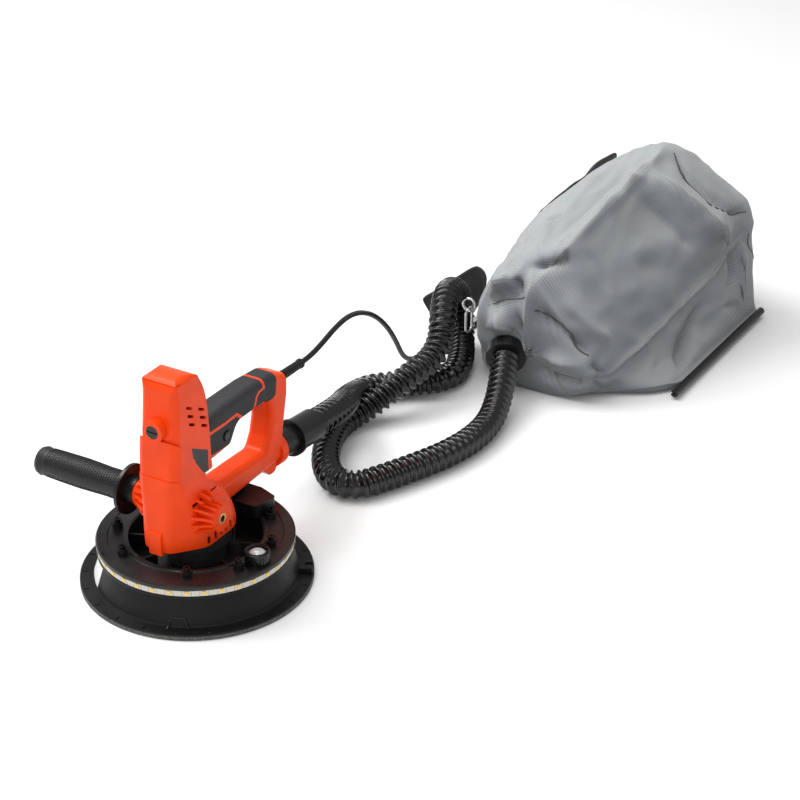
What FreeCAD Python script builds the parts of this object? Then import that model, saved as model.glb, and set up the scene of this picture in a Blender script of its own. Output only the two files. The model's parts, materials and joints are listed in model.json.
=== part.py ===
"""Hand-held drywall disc sander with dust hose, dust bag and mains lead.

Millimetres. Origin at the centre of the sanding disc's face, +Z up through the spindle,
+X towards the rear handle and the hose, +Y towards the side handle.
"""
import math
import os

import FreeCAD
import Part

Vector = FreeCAD.Vector

# --- driving dimensions -------------------------------------------------------------------
FLANGE_R = 134.5          # outer edge of the brush ring and of the skirt's flange
PAD_R = 107.5             # backing pad
DISC_R = 112.5            # 225 mm abrasive disc
RIM_R = 114.0             # rim of the head plate
RECESS_R = 77.0           # recess round the gearcase
BRUSH_Z = 5.2
FLANGE_Z = 7.2
SKIRT_TOP_Z = 43.6
LED_TOP_Z = 52.0
PLATE_Z = 57.0            # top face of the head plate
RECESS_Z = 31.0           # floor of its recess
BODY_Z = 72.0             # joint between gearcase and motor housing
STEP_Z = 212.0            # top of the outer skirt at the nose
CREASE_Z = 266.0          # edge of the sloping band above the nose
SLIT_Z = 276.6            # shadow gap above the band
CAP_TOP_Z = 281.4
MOTOR_X = -31.0           # motor axis, parallel to the spindle
PINION_TEETH = 9
GEAR_TEETH = 53
GEAR_MODULE = 1.0
GEAR_Z = 58.0
GEAR_FACE = 9.0
WALL = 2.6
HANDLE_HALF = 17.0        # half thickness of the rear handle
HANDLE_ROUND = 9.0
FAN_R = 28.5
CASE_R = 41.0             # dark gearcase ring between the head and the motor housing
SPIGOT_R = 37.0           # its spigot inside the housing
RUNNING = 0.05            # radial clearance of a shaft in its bearing
SIDE_X, SIDE_Z = -25.0, 107.0    # axis of the side handle sockets
SPIGOT_START = Vector(156, 0, 89.4)
SPIGOT_DIR = Vector(math.cos(math.radians(6)), 0, -math.sin(math.radians(6)))
HOSE_D = 36.0
CORD_D = 6.8
COIL_CENTRE = Vector(1010, 30, 0)
COIL_R_OUT = 48.4
COIL_R_IN = 27.6
COIL_H = 20.6
CLIP_X0, CLIP_X1 = 664.0, 946.0  # slide-on clip of the bag's mouth
CLIP_Y = -290.0
CLIP_Z = 9.0

BOSS_ANGLES = (37, 75, 113, 151, 209, 247, 285, 323)
KNOB_CENTRE = Vector(-13, -94, PLATE_Z)
LED_COUNT = 36
FLANGE_SLOTS = 22

os.makedirs("parts", exist_ok=True)


# --- helpers ------------------------------------------------------------------------------
def export(name, shape):
    """Write one node, with its solids kept apart."""
    shape = shape.removeSplitter() if len(shape.Solids) == 1 else shape
    shape.exportStep("parts/%s.step" % name)
    box = shape.BoundBox
    print("%-22s solids %2d  volume %10.0f  x %.1f..%.1f y %.1f..%.1f z %.1f..%.1f %s" % (
        name, len(shape.Solids), shape.Volume, box.XMin, box.XMax, box.YMin, box.YMax,
        box.ZMin, box.ZMax, "" if shape.isValid() else "INVALID"))


def box(x0, x1, y0, y1, z0, z1):
    return Part.makeBox(x1 - x0, y1 - y0, z1 - z0, Vector(x0, y0, z0))


def cyl(radius, height, base, axis=Vector(0, 0, 1)):
    return Part.makeCylinder(radius, height, base, axis)


def ring(r_out, r_in, z0, z1, cx=0.0, cy=0.0):
    base = Vector(cx, cy, z0)
    return cyl(r_out, z1 - z0, base).cut(cyl(r_in, z1 - z0, base))


def tube_y(r_out, r_in, y0, y1, x, z):
    base = Vector(x, y0, z)
    solid = cyl(r_out, y1 - y0, base, Vector(0, 1, 0))
    return solid.cut(cyl(r_in, y1 - y0, base, Vector(0, 1, 0))) if r_in else solid


def revolve(profile, cx=0.0, cy=0.0):
    """Solid of revolution about a vertical axis from (radius, z) corners."""
    points = [Vector(cx + r, cy, z) for r, z in profile]
    wire = Part.makePolygon(points + [points[0]])
    return Part.Face(wire).revolve(Vector(cx, cy, 0), Vector(0, 0, 1), 360)


def rounded_wire(points, radii):
    """Closed outline through 3-D corner points in one plane, each corner an arc."""
    edges = []
    count = len(points)
    starts, ends, mids = [], [], []
    for i, corner in enumerate(points):
        before = (points[i - 1] - corner)
        after = (points[(i + 1) % count] - corner)
        radius = radii[i] if isinstance(radii, (list, tuple)) else radii
        half = before.getAngle(after) / 2
        if radius <= 0:
            starts.append(corner)
            ends.append(corner)
            mids.append(None)
            continue
        reach = radius / math.tan(half)
        u = Vector(before).normalize()
        v = Vector(after).normalize()
        bisector = (u + v).normalize()
        starts.append(corner + u * reach)
        ends.append(corner + v * reach)
        mids.append(corner + bisector * (radius / math.sin(half) - radius))
    for i in range(count):
        if mids[i] is not None:
            edges.append(Part.Arc(starts[i], mids[i], ends[i]).toShape())
        nxt = (i + 1) % count
        if ends[i].distanceToPoint(starts[nxt]) > 1e-6:
            edges.append(Part.LineSegment(ends[i], starts[nxt]).toShape())
    return Part.Wire(edges)


def prism_xz(outline, radii, y0, y1):
    """Outline of (x, z) corners, pushed along Y."""
    wire = rounded_wire([Vector(x, y0, z) for x, z in outline], radii)
    return Part.Face(wire).extrude(Vector(0, y1 - y0, 0))


def prism_xy(outline, radii, z0, z1):
    """Outline of (x, y) corners, pushed along Z."""
    wire = rounded_wire([Vector(x, y, z0) for x, y in outline], radii)
    return Part.Face(wire).extrude(Vector(0, 0, z1 - z0))


def fuse(shapes):
    first = shapes[0]
    return first.multiFuse(shapes[1:]) if len(shapes) > 1 else first


def turned(shape, degrees, cx=0.0, cy=0.0):
    copy = shape.copy()
    copy.rotate(Vector(cx, cy, 0), Vector(0, 0, 1), degrees)
    return copy


def around(shape, count, cx=0.0, cy=0.0):
    """The shape repeated evenly about a vertical axis."""
    return [turned(shape, 360.0 * i / count, cx, cy) for i in range(count)]


def at_angles(shape, angles):
    return [turned(shape, angle) for angle in angles]


def arc_path(points):
    """Straight runs joined by tangent arcs through a list of route points."""
    radii = []
    edges = []
    last = points[0]
    for i in range(1, len(points) - 1):
        before = points[i - 1] - points[i]
        after = points[i + 1] - points[i]
        turn = math.pi - before.getAngle(after)
        reach = 0.45 * min(before.Length, after.Length)
        radius = reach / math.tan(turn / 2)
        u = Vector(before).normalize()
        v = Vector(after).normalize()
        start = points[i] + u * reach
        end = points[i] + v * reach
        mid = points[i] + (u + v).normalize() * (radius / math.cos(turn / 2) - radius)
        edges.append(Part.LineSegment(last, start).toShape())
        edges.append(Part.Arc(start, mid, end).toShape())
        last = end
        radii.append(round(radius))
    edges.append(Part.LineSegment(last, points[-1]).toShape())
    return Part.Wire(edges), radii


def swept_tube(name, points, diameter):
    """Solid round tube along a free route, checked against section times length."""
    path, radii = arc_path(points)
    direction = points[1] - points[0]
    section = Part.Wire(Part.makeCircle(diameter / 2, points[0], direction))
    solid = path.makePipeShell([section], True, True)
    expected = math.pi * diameter ** 2 / 4 * path.Length
    print("%s length %.0f, arc radii %s, volume ratio %.4f" % (
        name, path.Length, radii, solid.Volume / expected))
    return solid


def nose_section(front, front_half, shoulder, half, rear, radii, z):
    """Outline of the motor housing at one height: a flat nose that widens to its shoulders."""
    corners = [Vector(front, -front_half, z), Vector(shoulder, -half, z),
               Vector(rear, -half, z), Vector(rear, half, z), Vector(shoulder, half, z),
               Vector(front, front_half, z)]
    nose, side, back = radii
    return rounded_wire(corners, [nose, side, back, back, side, nose])


# --- head ---------------------------------------------------------------------------------
def make_brush_ring():
    return ring(FLANGE_R, 119.5, 0, BRUSH_Z)


def make_skirt():
    """Dust skirt: flared flange, tapering wall and a lip under the light ring."""
    profile = [(FLANGE_R, BRUSH_Z), (FLANGE_R, FLANGE_Z - 0.6), (FLANGE_R - 0.6, FLANGE_Z),
               (120.0, FLANGE_Z), (118.0, FLANGE_Z + 2), (108.0, 39.6), (112.6, 40.0),
               (113.2, 40.6), (113.2, SKIRT_TOP_Z), (103.0, SKIRT_TOP_Z), (103.0, 41.0),
               (105.6, 39.0), (115.6, FLANGE_Z + 1), (115.6, BRUSH_Z)]
    skirt = revolve(profile)
    slot = box(126, 132, -0.8, 0.8, BRUSH_Z - 1, FLANGE_Z + 1)
    slots = [turned(slot, 360.0 * (i + 0.5) / FLANGE_SLOTS) for i in range(FLANGE_SLOTS)]
    skirt = skirt.multiFuse([make_flange_lug(side) for side in (-1, 1)])
    return skirt.cut(Part.makeCompound(slots))


def make_flange_lug(side):
    """Raised seat on the flange where the skirt's removable edge piece would latch."""
    lug = prism_xy([(112, -11), (133, -11), (133, 11), (112, 11)], 2.0, FLANGE_Z - 1, 14)
    lug = lug.cut(box(124, 140, -2.5, 2.5, 9, 20))
    return turned(lug, 58.0 * side)


def make_head_plate():
    """Round head casting with a rim, eight screw posts and a deep recess."""
    profile = [(RECESS_R, PLATE_Z), (RECESS_R + 2, PLATE_Z + 1.6), (RECESS_R + 6, PLATE_Z + 1.6),
               (RECESS_R + 7, PLATE_Z - 0.4), (100.0, PLATE_Z - 0.4), (101.0, PLATE_Z + 0.6),
               (RIM_R - 1.5, PLATE_Z + 0.6), (RIM_R, PLATE_Z - 1), (RIM_R, LED_TOP_Z),
               (111.4, LED_TOP_Z), (111.4, SKIRT_TOP_Z), (104.0, SKIRT_TOP_Z),
               (104.0, PLATE_Z - 3), (RECESS_R + 3, PLATE_Z - 3),
               (RECESS_R + 2.6, RECESS_Z - 3), (23.2, RECESS_Z - 3), (23.2, RECESS_Z),
               (RECESS_R - 1, RECESS_Z)]
    plate = revolve(profile)
    posts = at_angles(cyl(6.0, 10.5, Vector(91, 0, PLATE_Z - 3)), BOSS_ANGLES)
    rib = box(52, RECESS_R, -1.2, 1.2, RECESS_Z - 0.5, PLATE_Z - 8)
    ribs = [turned(rib, 45.0 * i + 22.5) for i in range(8)]
    knob_seat = cyl(16.5, 3.0, KNOB_CENTRE + Vector(0, 0, -1.5))
    plate = plate.multiFuse(posts + ribs + [knob_seat])
    holes = at_angles(cyl(2.1, 12, Vector(91, 0, PLATE_Z - 4)), BOSS_ANGLES)
    inlet = box(82, 99, -28, 28, PLATE_Z - 4, PLATE_Z + 3)
    bleed = cyl(7.0, 12, KNOB_CENTRE + Vector(0, 0, -6))
    return plate.cut(Part.makeCompound(holes + [inlet, bleed]))


def make_light_ring():
    strip = ring(112.4, 111.4, SKIRT_TOP_Z + 0.5, LED_TOP_Z - 0.5)
    chip = box(112.4, 113.4, -2.3, 2.3, 46.2, 50.4)
    return strip, Part.makeCompound(around(chip, LED_COUNT))


def socket_screw(x, y, z):
    """Socket cap screw that holds the plate to the skirt."""
    head = cyl(3.9, 4.0, Vector(x, y, z)).cut(cyl(1.6, 3, Vector(x, y, z + 1.8)))
    return head.fuse(cyl(2.0, 13.9, Vector(x, y, z - 13.9)))


def make_plate_screws():
    screw = socket_screw(91, 0, PLATE_Z + 7.5)
    return Part.makeCompound(at_angles(screw, BOSS_ANGLES))


def make_plate_duct():
    """Dust duct that carries the air from the head up into the lower handle bar."""
    outer = prism_xy([(56, -44), (88, -52), (97, -26), (97, 26), (88, 52), (56, 44)],
                     [6, 5, 5, 5, 5, 6], PLATE_Z + 2, BODY_Z + 4)
    outer = outer.cut(cyl(53, 40, Vector(-8, 0, PLATE_Z)))
    mouth = prism_xy([(64, -34), (84, -36), (90, -20), (90, 20), (84, 36), (64, 34)], 4,
                     PLATE_Z, BODY_Z + 1.6)
    top_hole = box(66, 88, -11, 11, BODY_Z, BODY_Z + 6)
    foot = box(82.4, 98.6, -27.6, 27.6, PLATE_Z - 2.5, PLATE_Z + 3)
    foot = foot.cut(box(84.5, 96.5, -25.5, 25.5, PLATE_Z - 3, PLATE_Z + 4))
    return outer.fuse(foot).cut(mouth.fuse(top_hole))


KNOB_HEIGHT = 12.4


def make_regulator():
    """Suction regulator: a turning cap with a clear dome over a bleed hole."""
    base = KNOB_CENTRE + Vector(0, 0, 1.9)
    top = Vector(0, 0, KNOB_HEIGHT)
    cap = cyl(14.8, KNOB_HEIGHT, base)
    cap = cap.makeFillet(1.4, [e for e in cap.Edges
                               if abs(e.BoundBox.ZMin - base.z - KNOB_HEIGHT) < 0.01])
    cap = cap.cut(cyl(10.6, 4.2, base + top - Vector(0, 0, 3)))
    grips = [cyl(0.9, 8, base + Vector(14.9 * math.cos(a), 14.9 * math.sin(a), 1.5))
             for a in (math.radians(15 * i) for i in range(24))]
    cap = cap.cut(Part.makeCompound(grips))
    pin = cyl(2.5, 5.0, base + Vector(0, 0, -5.0))
    cap = cap.fuse(pin)
    dome = Part.makeSphere(13.5, base + top - Vector(0, 0, 12.4))
    dome = dome.common(cyl(10.2, 20, base + top - Vector(0, 0, 2.9)))
    return cap, dome


def make_pad():
    """Backing plate with its hub, foam, hook-and-loop abrasive and the pad screw."""
    plate = revolve([(6.2, 9), (PAD_R - 1, 9), (PAD_R, 10), (PAD_R - 2, 13), (40, 13),
                     (22, 20), (6.2, 20)])
    rib = box(24, 100, -1.0, 1.0, 12.5, 16)
    plate = plate.multiFuse(around(rib, 12))
    foam = ring(PAD_R, 14, 1.1, 9)
    disc = cyl(DISC_R, 1.1, Vector(0, 0, 0))
    screw_head = cyl(9, 4.2, Vector(0, 0, 3.2)).cut(hexagon(4.0, 2.6, 0, 0, 3.2))
    screw = screw_head.fuse(cyl(4, 17, Vector(0, 0, 7.4)))
    return plate, foam, disc, screw


def hexagon(half_flat, height, x, y, z):
    corner = half_flat / math.cos(math.pi / 6)
    points = [Vector(x + corner * math.cos(math.pi / 3 * i),
                     y + corner * math.sin(math.pi / 3 * i), z) for i in range(7)]
    return Part.Face(Part.makePolygon(points)).extrude(Vector(0, 0, height))


# --- drive --------------------------------------------------------------------------------
def involute_gear(teeth, module, z0, width, phase, thin):
    """Spur gear: involute flanks as short chords, tooth thinned for running clearance."""
    pressure = math.radians(25)
    pitch = teeth * module / 2
    base = pitch * math.cos(pressure)
    tip = pitch + 0.8 * module
    root = pitch - 1.05 * module
    half = math.pi / (2 * teeth) + math.tan(pressure) - pressure - thin / pitch
    flank = []
    steps = 5
    low = max(base, root)
    for k in range(steps + 1):
        radius = low + (tip - low) * k / steps
        roll = math.sqrt(max((radius / base) ** 2 - 1, 0))
        flank.append((radius, half - (roll - math.atan(roll))))
    points = []
    for i in range(teeth):
        centre = 2 * math.pi * i / teeth + phase
        polar = [(root, -flank[0][1])] + [(r, -a) for r, a in flank]
        polar += [(r, a) for r, a in reversed(flank)] + [(root, flank[0][1])]
        for r, a in polar:
            point = Vector(r * math.cos(centre + a), r * math.sin(centre + a), z0)
            if not points or point.distanceToPoint(points[-1]) > 1e-4:
                points.append(point)
    return Part.Face(Part.makePolygon(points + [points[0]])).extrude(Vector(0, 0, width))


def make_gears():
    gear = involute_gear(GEAR_TEETH, GEAR_MODULE, GEAR_Z, GEAR_FACE, math.pi, 0.06)
    hub = cyl(11, 3, Vector(0, 0, GEAR_Z + GEAR_FACE))
    gear = gear.fuse(hub).cut(cyl(6, 30, Vector(0, 0, GEAR_Z - 5)))
    lighten = around(cyl(4.2, 30, Vector(17, 0, GEAR_Z - 5)), 6)
    gear = gear.cut(Part.makeCompound(lighten))
    pinion = involute_gear(PINION_TEETH, GEAR_MODULE, GEAR_Z - 1.5, GEAR_FACE + 3,
                           math.pi / PINION_TEETH, 0.06)
    pinion.translate(Vector(MOTOR_X, 0, 0))
    return gear, pinion


def make_spindle():
    spindle = cyl(6, 80.5, Vector(0, 0, 9)).fuse(cyl(8, 3, Vector(0, 0, 29)))
    return spindle.cut(cyl(4, 16, Vector(0, 0, 9)))


def bearing(r_out, r_in, width, x, y, z):
    """Shielded ball bearing: two races joined by the ball ring between them."""
    step = (r_out - r_in) / 3
    outer = ring(r_out, r_out - step, z, z + width, x, y)
    inner = ring(r_in + step, r_in + RUNNING, z, z + width, x, y)
    shield = ring(r_out - step, r_in + step, z + 0.8, z + width - 0.8, x, y)
    return outer.multiFuse([inner, shield])


def make_gearcase():
    """Gearcase in two castings: a pan with the lower bearing and a cover with two more."""
    pan = revolve([(19, RECESS_Z), (34, RECESS_Z), (34, 50), (CASE_R, 54), (CASE_R, BODY_Z - 8),
                   (CASE_R - 3.5, BODY_Z - 8), (CASE_R - 3.5, 54.6), (30.5, 50), (19, 50)])
    pan = pan.fuse(cyl(23, 22, Vector(0, 0, RECESS_Z - 3)))
    pan = pan.cut(cyl(16, 11, Vector(0, 0, 33))).cut(cyl(9, 40, Vector(0, 0, 20)))
    pan = pan.cut(cyl(29, 10, Vector(0, 0, 50))).cut(cyl(7, 10, Vector(MOTOR_X, 0, 54)))
    cover = revolve([(0, BODY_Z - 8), (CASE_R, BODY_Z - 8), (CASE_R, BODY_Z), (SPIGOT_R, BODY_Z),
                     (SPIGOT_R, BODY_Z + 4), (0, BODY_Z + 4)])
    spindle_seat = cyl(17, 13, Vector(0, 0, BODY_Z + 4))
    motor_seat = cyl(16, 11.6, Vector(MOTOR_X, 0, BODY_Z + 2.4))
    cover = cover.multiFuse([spindle_seat, motor_seat])
    cover = cover.cut(cyl(14, 9, Vector(0, 0, BODY_Z + 4)))
    cover = cover.cut(cyl(CASE_R - 3.5, 4.4, Vector(0, 0, BODY_Z - 8)))
    cover = cover.cut(cyl(11.5, 14, Vector(0, 0, BODY_Z - 9)))
    cover = cover.cut(cyl(7, 40, Vector(0, 0, BODY_Z)))
    cover = cover.cut(cyl(13, 9, Vector(MOTOR_X, 0, BODY_Z + 3)))
    cover = cover.cut(cyl(8, 50, Vector(MOTOR_X, 0, BODY_Z - 10)))
    return pan, cover


def make_motor(pinion):
    """Series motor: field ring with two poles, two coils, slotted armature, commutator."""
    ax = MOTOR_X
    z0, z1 = 142.0, 198.0
    yoke = ring(22.0, 18.6, z0, z1, ax)
    wedge = prism_xy([(ax, 0), (ax + 40, -24), (ax + 40, 24)], 0, z0, z1)
    pole = ring(18.7, 13.6, z0, z1, ax).common(wedge)
    field = yoke.multiFuse([pole, turned(pole, 180, ax)])
    around_pole = prism_xy([(ax, 0), (ax + 40, -26), (ax + 40, 26)], 0, z0 - 1, z1 + 1)
    whole = ring(18.4, 13.9, z0 - 7, z1 + 7, ax).cut(around_pole)
    whole = whole.cut(turned(around_pole, 180, ax))
    coils = [whole.common(box(ax + 0.4, ax + 40, -40, 40, 0, 300)),
             whole.common(box(ax - 40, ax - 0.4, -40, 40, 0, 300))]
    core = cyl(12.8, z1 - z0, Vector(ax, 0, z0)).cut(cyl(4, z1 - z0, Vector(ax, 0, z0)))
    slot = box(ax + 8.6, ax + 14, -0.9, 0.9, z0 - 1, z1 + 1)
    core = core.cut(Part.makeCompound(around(slot, 12, ax)))
    ends = [ring(11.8, 4, z0 - 8, z0, ax), ring(11.8, 4, z1, z1 + 8, ax)]
    commutator = ring(10.4, 4, 212, 232, ax).fuse(ring(11.6, 4, 210, 212, ax))
    gap = box(ax + 9.4, ax + 12, -0.35, 0.35, 212, 233)
    commutator = commutator.cut(Part.makeCompound(around(gap, 24, ax)))
    shaft = cyl(4, 170.4, Vector(ax, 0, BODY_Z))
    low_end = cyl(2.2, 16.5, Vector(ax, 0, GEAR_Z - 1.5))
    shaft = shaft.multiFuse([low_end, cyl(5, 12, Vector(ax, 0, BODY_Z)), pinion])
    return field, Part.makeCompound(coils), core, Part.makeCompound(ends), commutator, shaft


def make_fan():
    """Cooling fan on the motor shaft: a hub, a back plate and curved blades."""
    ax, z0 = MOTOR_X, 98.0
    hub = ring(9, 4, z0, z0 + 16, ax)
    plate = ring(FAN_R, 8, z0, z0 + 2, ax)
    blades = []
    for i in range(18):
        blade = box(ax + 14, ax + FAN_R, -0.8, 0.8, z0 + 1, z0 + 13)
        blade.rotate(Vector(ax + 14, 0, 0), Vector(0, 0, 1), 28)
        blades.append(turned(blade, 20.0 * i, ax))
    return fuse([plate, hub] + blades).common(cyl(FAN_R, 20, Vector(ax, 0, z0)))


def make_brush_gear():
    """Carbon brushes, their brass holders, springs and screw caps, front and rear."""
    carbons, holders, caps = [], [], []
    for side in (-1, 1):
        def bar(x0, x1, half_y, half_z, side=side):
            a, b = sorted((MOTOR_X + side * x0, MOTOR_X + side * x1))
            return box(a, b, -half_y, half_y, 222 - half_z, 222 + half_z)
        carbons.append(bar(10.5, 22, 3, 4.5))
        sleeve = bar(12.5, 30, 4.2, 5.7).cut(bar(12, 31, 3.1, 4.6))
        holders.append(sleeve)
        x_face = MOTOR_X + side * 39.4
        base = Vector(x_face, 0, 222)
        cap = cyl(8.0, 7.0, base, Vector(-side, 0, 0))
        slot = box(x_face - 1.2, x_face + 1.2, -6.5, 6.5, 221.2, 222.8)
        caps.append(cap.cut(slot))
    springs = []
    for side in (-1, 1):
        helix = Part.makeHelix(1.6, 8.0, 2.0)
        section = Part.Wire(Part.makeCircle(0.3, Vector(2.0, 0, 0), Vector(0, 1, 0.127)))
        spring = Part.Wire(helix).makePipeShell([section], True, True)
        spring.rotate(Vector(0, 0, 0), Vector(0, 1, 0), 90 * side)
        spring.translate(Vector(MOTOR_X + side * 22.3, 0, 222))
        springs.append(spring)
    return (Part.makeCompound(carbons), Part.makeCompound(holders),
            Part.makeCompound(springs), Part.makeCompound(caps))


# --- housing ------------------------------------------------------------------------------
# Each section: front x, half-width there, x of the shoulder, half-width there, rear x, corner
# radii of the nose, shoulder and rear, and the height.
DRUM_BODY = [(-72.0, 16.0, -37.0, 44.4, 41.0, (12, 26, 34), BODY_Z),
             (-74.0, 15.5, -41.0, 41.4, 38.0, (12, 24, 30), 92),
             (-73.4, 16.0, -45.0, 37.4, 32.0, (12, 20, 26), 106),
             (-71.6, 18.0, -53.0, 32.4, 21.0, (12, 14, 20), 126),
             (-70.0, 19.5, -59.0, 29.6, 13.0, (10, 9, 14), 148),
             (-69.0, 20.0, -60.0, 29.0, 11.0, (8, 8, 10), 168)]
SKIRT_BODY = [(-71.4, 15.5, -36.5, 43.8, 40.4, (12, 26, 34), BODY_Z),
              (-73.2, 15.0, -40.5, 40.7, 37.2, (12, 24, 30), 92),
              (-72.5, 15.5, -44.5, 36.7, 31.2, (12, 20, 26), 106),
              (-70.7, 17.5, -52.5, 31.6, 20.2, (12, 14, 20), 126),
              (-69.1, 19.0, -58.5, 28.6, 12.2, (10, 9, 14), 148),
              (-66.9, 20.0, -60.0, 27.6, 9.6, (8, 7, 10), 176),
              (-64.2, 20.0, -58.0, 27.0, 8.0, (7, 7, 9), STEP_Z)]
MOTOR_BODY = [(-69.0, 15.0, -44.0, 35.6, 24.0, (12, 18, 24), 106),
              (-67.0, 17.0, -52.0, 29.6, 18.0, (12, 12, 18), 128),
              (-65.6, 18.5, -57.0, 26.4, 10.6, (9, 8, 12), 148),
              (-63.6, 19.0, -56.5, 25.6, 7.4, (8, 6, 9), 176),
              (-61.6, 18.5, -55.0, 25.2, 5.4, (7, 5, 8), STEP_Z),
              (-59.6, 18.5, -53.0, 24.8, 3.2, (7, 5, 8), 237),
              (-57.8, 18.5, -51.4, 24.4, -3.4, (7, 5, 8), 260),
              (-56.6, 18.5, -50.4, 24.2, -8.0, (7, 5, 8), 290)]
# Top edges of the two overlapping steps, (x, z) from the nose to the handle.
DRUM_EDGE = [(-90, 163), (-64, 163), (-57, 155), (-50, 146), (-41, 137), (-32, 130),
             (-20, 125), (-4, 119), (20, 116), (70, 116)]
SKIRT_EDGE = [(-90, 211), (-64, 210), (-57, 205), (-50, 198), (-40, 187), (-29, 173),
              (-18, 154), (-9, 140), (4, 125), (16, 118), (70, 116)]
CAP_SIDE = [(-74, 150), (-58.6, CREASE_Z), (-54.2, SLIT_Z), (-50, 279.6), (-38, CAP_TOP_Z + 0.6),
            (-20, 277.6), (-4.5, 268), (1, 258), (30, 150)]
CAP_FRONT = [(-40, 150), (-25.6, 262), (-23.6, 280), (0, CAP_TOP_Z + 1.2), (23.6, 280),
             (25.6, 262), (40, 150)]


def stack_solid(stack, inset):
    sections = []
    for front, front_half, shoulder, half, rear, radii, z in stack:
        sections.append(nose_section(
            front + inset, front_half - inset / 2, shoulder + inset / 2, half - inset,
            rear - inset, [max(r - inset, 2.0) for r in radii], z))
    return Part.makeLoft(sections, True)


def body_solid(inset):
    """Motor housing as overlapping lofts; inset takes the wall off every side."""
    motor = stack_solid(MOTOR_BODY, inset).common(cap_limit(inset))
    solids = [motor]
    for stack, edge in ((SKIRT_BODY, SKIRT_EDGE), (DRUM_BODY, DRUM_EDGE)):
        keep = [(x, z - inset) for x, z in edge] + [(70, BODY_Z - 20), (-90, BODY_Z - 20)]
        solids.append(stack_solid(stack, inset).common(region(keep)))
    return fuse(solids)


def cap_limit(inset):
    """Space under the rounded top of the housing."""
    along = rounded_wire([Vector(x, 0, z - inset) for x, z in CAP_SIDE],
                         [1, 1.5, 1.5, 5, 40, 30, 6, 5, 1])
    across = rounded_wire([Vector(0, y, z - inset) for y, z in CAP_FRONT],
                          [1, 14, 11, 60, 11, 14, 1])
    side = Part.Face(along).extrude(Vector(0, 140, 0)).translated(Vector(0, -70, 0))
    front = Part.Face(across).extrude(Vector(200, 0, 0)).translated(Vector(-120, 0, 0))
    return side.common(front)


HANDLE_OUTLINE = [(-20, 199), (12, 203), (42, 205.5), (105, 204.5), (150, 200), (174, 188),
                  (173, 164), (164, 124), (161, 104), (159, 82), (119, 80), (60, 79), (-20, 79)]
HANDLE_RADII = [0, 20, 30, 60, 26, 14, 16, 14, 30, 12, 30, 30, 0]
LOOP_OUTLINE = [(0, 112), (80, 109), (122, 107), (131, 122), (137, 144), (134, 171),
                (70, 171), (55, 149), (0, 147)]
LOOP_RADII = [0, 60, 9, 20, 14, 9, 14, 12, 0]
LUG_OUTLINE = [(159, 104), (158, 86), (153, 75), (147, 67), (137, 67), (120, 82), (122, 96)]


def handle_solid(inset):
    """Rear D-handle with its opening; inset shrinks the outline and the thickness."""
    outer_wire = rounded_wire([Vector(x, 0, z) for x, z in HANDLE_OUTLINE], HANDLE_RADII)
    loop_wire = rounded_wire([Vector(x, 0, z) for x, z in LOOP_OUTLINE], LOOP_RADII)
    half = HANDLE_HALF - inset
    outer_face = Part.Face(outer_wire)
    loop_face = Part.Face(loop_wire)
    if inset:
        outer_face = Part.Face(outer_wire.makeOffset2D(-inset, 0))
        loop_face = Part.Face(loop_wire.makeOffset2D(inset, 0))
    face = outer_face.cut(loop_face).Faces[0]
    solid = face.extrude(Vector(0, 2 * half, 0))
    solid.translate(Vector(0, -half, 0))
    return solid


def rounded_handle(inset, radius):
    """The handle with its long edges rounded."""
    solid = handle_solid(inset)
    side = HANDLE_HALF - inset
    edges = [e for e in solid.Edges
             if abs(abs(e.BoundBox.YMin) - side) < 0.01 and e.BoundBox.YLength < 0.01
             and e.BoundBox.XMax > 12]
    return solid.makeFillet(radius, edges)


def handle_lug():
    """Rounded foot under the rear end of the lower handle bar."""
    lug = prism_xz(LUG_OUTLINE, [2, 8, 6, 4, 5, 6, 2], -12, 12)
    edges = [e for e in lug.Edges if e.BoundBox.YLength < 0.01]
    return lug.makeFillet(2.5, edges)


def side_boss(side, radius, reach):
    """Round seat of a side-handle socket on one side of the fan housing."""
    return tube_y(radius, 0, min(0, side * reach), max(0, side * reach), SIDE_X, SIDE_Z)


def vent_cutter():
    """Slanting cooling slots through both sides of the upper housing."""
    cutters = []
    for row in range(3):
        for col in range(2):
            x = -34 + 1.8 * row + 22 * col
            z = 242 - 11 * row - 11.4 * col
            slot = box(x - 6, x + 6, -60, 60, z - 1.7, z + 1.7)
            slot.rotate(Vector(x, 0, z), Vector(0, 1, 0), 27)
            cutters.append(slot)
    return Part.makeCompound(cutters)


def exhaust_cutter():
    """Fan exhaust slots low on both sides of the fan housing."""
    slots = []
    for i in range(6):
        for turn in (-1, 1):
            slot = box(33, 60, -1.9, 1.9, 74.4, 83.5)
            slot.rotate(Vector(0, 0, 0), Vector(0, 0, 1), turn * (68 + 12 * i))
            slots.append(slot)
    return Part.makeCompound(slots)


INSERT_R = 6.5
BOSS_R = 15.5             # seat of the side handle, with fins that fan out from its front
BOSS_FIN = [(12, 20), (29, 20), (27, 37), (21, 46), (16.6, 55), (12, 56)]
FIN_ANGLES = (78, 100, 122, 144, 166, 188, 210)
SIDE_SLOT = [(-47, 122.4), (1, 126.4), (1, 129), (-47, 127.6)]    # cooling gap over the fan


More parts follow.
